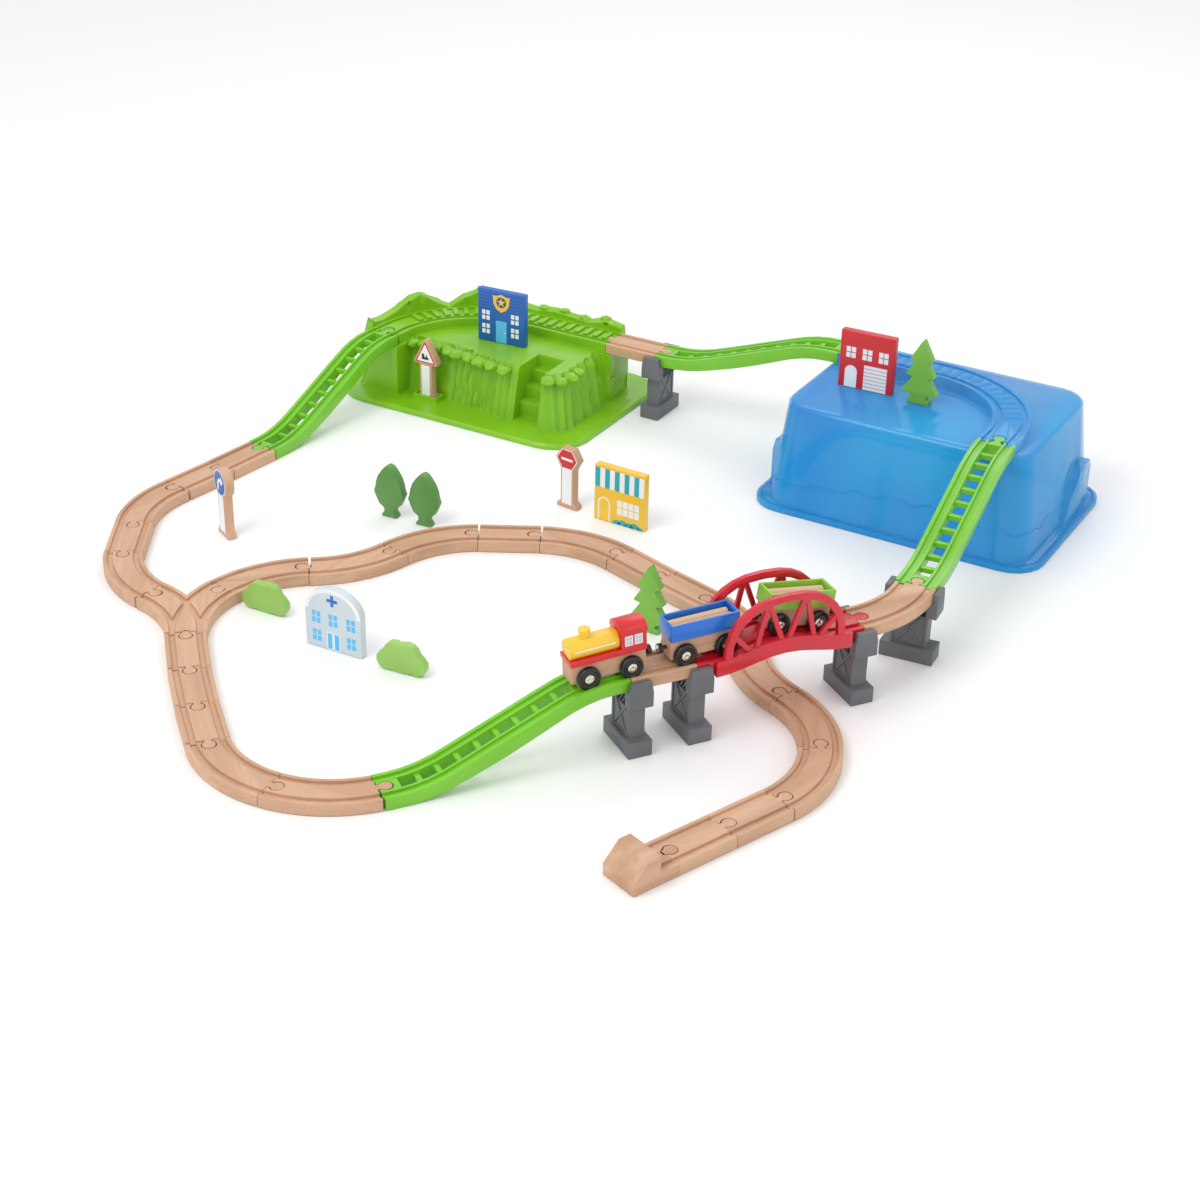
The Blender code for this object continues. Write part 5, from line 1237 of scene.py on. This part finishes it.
def star(x, z, outer, inner, points=5):
    corners = []
    for i in range(points * 2):
        a = math.pi / 2 + math.pi * i / points
        r = outer if i % 2 == 0 else inner
        corners.append((x + r * math.cos(a), z + r * math.sin(a)))
    return corners


PRINT_STEP = 0.07 * MM
PRINT_SUNK = 0.15 * MM


class Board:
    """A flat wooden figure: its place, its thickness, and printed shapes on one face or both.

    Shapes are outlines in millimetres, x from the middle of the foot and z up from it."""

    def __init__(self, node, slot, thickness, height=0.0, both=True):
        self.node, self.slot, self.thickness, self.both = node, slot, thickness, both
        self.place = STANDING[node].matrix(height)

    def figure(self, look, edge=0.8 * MM):
        """The board itself, its grain turned upright."""
        shape = moved(cad_copy(self.node), self.place.inverted())
        soften(shape, edge, 3, 50)
        name = f"{self.node}_board"
        made = piece(name, shape, look, [self.node], self.place, 35, self.node)
        upright = Matrix.Rotation(math.radians(90), 4, "Y")
        for value in made.data.attributes[GRAIN].data:
            value.vector = upright @ Vector(value.vector)

    def printed(self, label, outlines, look, layer=1):
        """Thin flat shapes, each layer a little prouder than the one below."""
        proud, sunk = PRINT_STEP * layer, PRINT_SUNK
        faces = [(-proud, sunk)]
        if self.both:
            faces.append((self.thickness - sunk, self.thickness + proud))
        upright = Matrix.Rotation(math.radians(90), 4, "X") @ Matrix.Diagonal((1, 1, -1, 1))
        shapes = []
        for near, far in faces:
            for outline in outlines:
                flat = moved(prism([(x * MM, z * MM) for x, z in outline], near, far), upright)
                bmesh.ops.recalc_face_normals(flat, faces=flat.faces)
                shapes.append(flat)
        name = f"{self.node}_{label}"
        piece(name, together(shapes), look, (), self.place, body=self.node)


def window_grid(x0, z0, columns, rows, pane, gap):
    panes = []
    for i in range(columns):
        for j in range(rows):
            x, z = x0 + i * (pane[0] + gap), z0 + j * (pane[1] + gap)
            panes.append(rectangle(x, x + pane[0], z, z + pane[1]))
    return panes


def build_hospital():
    board = Board("hospital", "hospital_paint", BOARD_THICKNESS)
    board.figure(WALL_GREY)
    arch = half_round(0, 41, 31.5, 25, 24)
    inner = [(x * 0.86, 41 + (z - 41) * 0.84) for x, z in arch]
    board.printed("arch_line", [arch + inner[::-1]], PRINT_WHITE)
    panes = []
    for x0, width in ((-23.5, 9.6), (-4.6, 9.8), (15.4, 9.8)):
        pane = ((width - 1.2) / 2, 5.9)
        panes += window_grid(x0, 26.4, 2, 2, pane, 1.2)
    for x0 in (-23.5, 15.4):
        panes += window_grid(x0, 6.8, 2, 2, (4.3, 5.6), 1.2)
    board.printed("windows", panes, PRINT_SKY)
    doors = [rectangle(-7.4, -0.4, 0.6, 19.4), rectangle(0.4, 7.4, 0.6, 19.4)]
    board.printed("doors", doors, PRINT_WHITE)
    panels = [rectangle(-6.4, -1.4, 1.6, 18.4), rectangle(1.4, 6.4, 1.6, 18.4)]
    board.printed("door_panels", panels, PRINT_SKY, 2)
    arms = [rectangle(-6, -1.7, 52.4, 55.8), rectangle(1.7, 6, 52.4, 55.8)]
    cross = [rectangle(-1.7, 1.7, 48, 60), *arms]
    board.printed("cross", cross, PRINT_BLUE, 2)


def build_shop():
    board = Board("shop", "shop_paint", BOARD_THICKNESS)
    board.figure(WALL_YELLOW)
    width, top, low = 60.0, 61.5, 41
    stripe = width / 10
    white, teal = [], []
    for i in range(10):
        x = -width / 2 + i * stripe
        scallop = half_round(x + stripe / 2, low, stripe / 2, -2.6, 8)
        shape = [(x, top), (x, low), *reversed(scallop), (x + stripe, low), (x + stripe, top)]
        (teal if i % 2 == 0 else white).append(dedupe(shape))
    board.printed("awning_white", white, PRINT_WHITE)
    board.printed("awning_teal", teal, PRINT_TEAL)
    arch = half_round(-18.8, 20.5, 7.5, 7.5)
    board.printed("door", [[(-26.3, 0.6), (-11.3, 0.6), *arch]], PRINT_WHITE)
    inner = half_round(-18.8, 20.5, 6, 6)
    board.printed("door_panel", [[(-24.8, 0.6), (-12.8, 0.6), *inner]], PRINT_GOLD, 2)
    board.printed("window", window_grid(-2.4, 12, 4, 2, (5.8, 7.8), 1.2), PRINT_WHITE)
    bushes = ((-3.0, 5), (4.6, 6.2), (12.6, 5.2), (19.5, 6.4), (26.2, 3.6))
    mounds = [half_round(x, 0.4, r, r * 0.95) for x, r in bushes]
    board.printed("hedge", mounds, PRINT_TEAL, 2)


def dedupe(points):
    kept = []
    for point in points:
        if not kept or (Vector(point) - Vector(kept[-1])).length > 1e-6:
            kept.append(point)
    if (Vector(kept[0]) - Vector(kept[-1])).length < 1e-6:
        kept.pop()
    return kept


def build_fire_station():
    board = Board("fire_station", "red_paint", BOARD_THICKNESS, TUB_HEIGHT + GAP)
    board.figure(WALL_RED)
    panes = []
    for x0 in (-23.6, -5.0, 13.6):
        panes += window_grid(x0, 34.4, 2, 2, (4.9, 5.7), 1.0)
    board.printed("windows", panes, PRINT_WHITE)
    arch = half_round(-16.9, 18.7, 6.9, 6.9)
    door = dedupe([(-23.8, 0.6), (-10, 0.6), *arch])
    board.printed("door", [door], PRINT_WHITE)
    slats = [rectangle(-2.2, 24, z, z + 3.5) for z in (0.6, 4.7, 8.8, 12.9, 17, 21.1, 25.2)]
    board.printed("garage", slats, PRINT_WHITE)
    lines = [rectangle(-30, 30, z, z + 0.7) for z in (50.5, 54, 57.5, 61)]
    board.printed("roof_lines", lines, PRINT_RED)


def build_police_station():
    board = Board("police_station", "blue_paint", BOARD_THICKNESS, HILL_PLATEAU + GAP)
    board.figure(WALL_BLUE)
    lines = [rectangle(-30, 30, z, z + 0.8) for z in (40, 44, 48, 52, 56, 60)]
    board.printed("roof_lines", lines, PRINT_NAVY)
    half = [(6.5, 42), (10.3, 48.5), (10.8, 55), (11.6, 58.6), (6, 58.4)]
    shield = [(0, 38.5), *half, (0, 61), *[(-x, z) for x, z in reversed(half)]]
    board.printed("shield", [shield], PRINT_GOLD, 2)
    board.printed("shield_field", [ellipse(0, 51, 6.4, 6.4)], PRINT_NAVY, 3)
    board.printed("shield_star", [star(0, 51, 5.6, 2.4)], PRINT_GOLD, 4)
    panes = []
    for x0 in (-25.5, 13.0):
        for z0 in (9.5, 26.5):
            panes += window_grid(x0, z0, 2, 2, (4.3, 5.2), 1.5)
    board.printed("windows", panes, PRINT_WHITE)
    board.printed("door", [rectangle(-7.2, 7, 0.6, 27.6)], PRINT_SKY)
    board.printed("door_knob", [ellipse(4.4, 13.5, 0.9, 0.9, 16)], PRINT_WHITE, 2)


def hexagon(half, rise, middle):
    left = [(-half / 2, middle + rise), (-half, middle), (-half / 2, middle - rise)]
    return left + [(-x, z) for x, z in reversed(left)]


def build_signs():
    """Bare wood behind; in front a painted post, rim, face and mark, one over the other."""
    post = rectangle(-6.5, 6.5, 4.5, 47)
    parts = ((-4.6, 4.6, 51, 54.2), (-4.6, -1.2, 54.2, 58), (1.2, 2.9, 54.2, 57))
    engine = [rectangle(*sides) for sides in parts]
    for node, height, outlines, rim_look, face_look, label, mark, mark_look in (
        ("stop_sign", 0.0, (post, hexagon(13.8, 11.2, 57.5), hexagon(12.8, 10.4, 57.5)),
         PRINT_WHITE, PRINT_RED, "bar", [rectangle(-7.6, 7.6, 56.1, 58.9)], PRINT_WHITE),
        ("turn_sign", 0.0, (post, ellipse(0, 61, 14.2, 14.2, 48), ellipse(0, 61, 13.2, 13.2, 48)),
         PRINT_WHITE, PRINT_BLUE, "arrow", [arrow_outline()], PRINT_WHITE),
        ("warning_sign", FLANGE_HEIGHT + GAP,
         (rectangle(-5.6, 5.6, 4.5, 43.5), gable(14, 1.2, 46.8, 72), gable(11.6, 0.4, 48.2, 69.6)),
         PRINT_RED, PRINT_WHITE, "engine_mark", engine, PRINT_BLACK),
    ):
        board = Board(node, "beech", POST_THICKNESS, height, both=False)
        board.figure(BEECH)
        board.printed("post", [outlines[0]], PRINT_WHITE)
        board.printed("rim", [outlines[1]], rim_look, 2)
        board.printed("face", [outlines[2]], face_look, 3)
        board.printed(label, mark, mark_look, 4)


def gable(half, half_top, low, high):
    return [(-half, low), (half, low), (half_top, high), (-half_top, high)]


def arrow_outline():
    """A bent arrow that turns to the right."""
    turns = steps_of(math.pi / 2, 8)
    outer = [(1.2 - 7.4 * math.cos(a), 58.5 + 7.4 * math.sin(a)) for a in turns]
    inner = [(1.2 - 3.6 * math.cos(a), 58.5 + 3.6 * math.sin(a)) for a in turns]
    head = [(2.4, 62.1), (2.4, 58.6), (9.4, 64), (2.4, 69.4), (2.4, 65.9)]
    return [(-2.4, 52), *inner, *head, *reversed(outer), (-6.2, 52)]


def build_trees():
    for kind, look, thickness in (
        ("tree", TREE_GREEN, POST_THICKNESS),
        ("fir_tree", FIR_GREEN, POST_THICKNESS),
        ("bush", BUSH_GREEN, BOARD_THICKNESS),
    ):
        slot = kind.replace("fir_tree", "fir") + "_paint"
        for node in (f"{kind}_1", f"{kind}_2"):
            height = TUB_HEIGHT + GAP if node == "fir_tree_2" else 0.0
            Board(node, slot, thickness, height).figure(look, 1.1 * MM)


# ---------------------------------------------------------------- stage


CAMERA_FROM_SWITCH = (0.3953, -1.79456)
CAMERA_HEIGHT = 1.05701
CAMERA_DIP = 29.149
CAMERA_ROLL = 1.275
CAMERA_LENS = 65.16
FLOOR_SIZE = 30
FLOOR_LEVEL = -0.4 * MM
WORLD_STRENGTH = 0.85


def build_stage(switch):
    low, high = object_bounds()
    middle = (Vector(low) + Vector(high)) / 2
    floor = bmesh.new()
    bmesh.ops.create_grid(floor, x_segments=1, y_segments=1, size=FLOOR_SIZE)
    mesh = bpy.data.meshes.new("studio_floor")
    floor.to_mesh(mesh)
    floor.free()
    ground = linked("studio_floor", mesh)
    ground.location = (middle.x, middle.y, FLOOR_LEVEL)
    look = Look("studio_white", 0.9, Specular_IOR_Level=0.1)
    look.shader.inputs["Base Color"].default_value = (0.93, 0.93, 0.93, 1)
    mesh.materials.append(look.material)
    ground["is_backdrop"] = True
    world = bpy.data.worlds.new("studio")
    world.use_nodes = True
    background = world.node_tree.nodes["Background"]
    background.inputs["Color"].default_value = (1, 1, 1, 1)
    background.inputs["Strength"].default_value = WORLD_STRENGTH
    bpy.context.scene.world = world
    bpy.context.scene.view_settings.view_transform = "Standard"
    for name, place, size, power in (
        ("key_light", (-1.3, -1.1, 2.2), 1.3, 24),
        ("fill_light", (1.7, -1.6, 1.9), 1.8, 7),
        ("back_light", (0.6, 1.8, 2.0), 1.4, 10),
    ):
        lamp = bpy.data.lights.new(name, "AREA")
        lamp.size = size
        lamp.energy = power
        thing = linked(name, lamp)
        thing.location = middle + Vector(place)
        aim = (middle - thing.location).to_track_quat("-Z", "Y")
        thing.rotation_euler = aim.to_euler()
    lens = bpy.data.cameras.new("camera")
    lens.sensor_width = 36
    lens.lens = CAMERA_LENS
    lens.clip_end = 50
    camera = linked("camera", lens)
    camera.location = (*(switch.spot + Vector(CAMERA_FROM_SWITCH)), CAMERA_HEIGHT)
    tilt = Matrix.Rotation(math.radians(90 - CAMERA_DIP), 4, "X")
    roll = Matrix.Rotation(math.radians(CAMERA_ROLL), 4, "Z")
    camera.rotation_euler = (tilt @ roll).to_euler()
    bpy.context.scene.camera = camera


# ---------------------------------------------------------------- everything


SWITCH_HEADING = 99.3


def find_switch():
    """The switch's pose: its heading is the layout's, its place is where the frame has it."""
    low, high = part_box("switch_track")
    start = Pose(0, 0, SWITCH_HEADING)
    arms = plain_outline(samples_of("left")) + plain_outline(samples_of("right"))
    points = [start.point(p.x, p.y) for p in arms] + plug_outline(start.reversed())
    centre = Vector([(min(side) + max(side)) / 2 for side in zip(*points)])
    spot = (Vector(low) + Vector(high)).xy / 2 - centre
    return Pose(spot.x, spot.y, SWITCH_HEADING)


switch = find_switch()
laid, spots = lay_out(switch)


PLAN_SWITCH = (-415.3, -180.7)


def from_switch(x, y, heading):
    """A standing board's pose, in millimetres, in a plan that has the switch at PLAN_SWITCH."""
    across_plan, up_plan = x - PLAN_SWITCH[0], y - PLAN_SWITCH[1]
    return Pose(switch.spot.x + across_plan * MM, switch.spot.y + up_plan * MM, heading)


STANDING = {
    "hospital": from_switch(-272.6, -191.6, -27),
    "shop": from_switch(-2.0, 85.2, -31),
    "bush_1": from_switch(-350.0, -120.0, -27),
    "bush_2": from_switch(-206.0, -230.0, -24),
    "tree_1": from_switch(-247.3, 91.1, -26),
    "tree_2": from_switch(-209.4, 72.5, -26),
    "fir_tree_1": from_switch(26.0, -142.0, -30),
    "stop_sign": from_switch(-58.5, 123.0, -37),
    "turn_sign": from_switch(-416.0, 41.0, -58),
    "fire_station": spots["tub"].moved(-74.5 * MM, -24 * MM, 2),
    "fir_tree_2": spots["tub"].moved(-12 * MM, -27 * MM),
    "police_station": spots["hill"].moved(12 * MM, -16.5 * MM, 4),
    "warning_sign": spots["hill"].moved(-51 * MM, -84 * MM),
}

PIER_PLACES = {number: spots[f"pier_{number}"].matrix() for number in range(1, 6)}

build_stage(switch)
build_track(laid, spots)
build_mouldings()
build_engine(spots)
build_wagon(spots, "blue_wagon", 55 * MM, TRAY_BLUE)
build_wagon(spots, "green_wagon", 146.5 * MM, TRAY_GREEN)
build_hospital()
build_shop()
build_fire_station()
build_police_station()
build_signs()
build_trees()
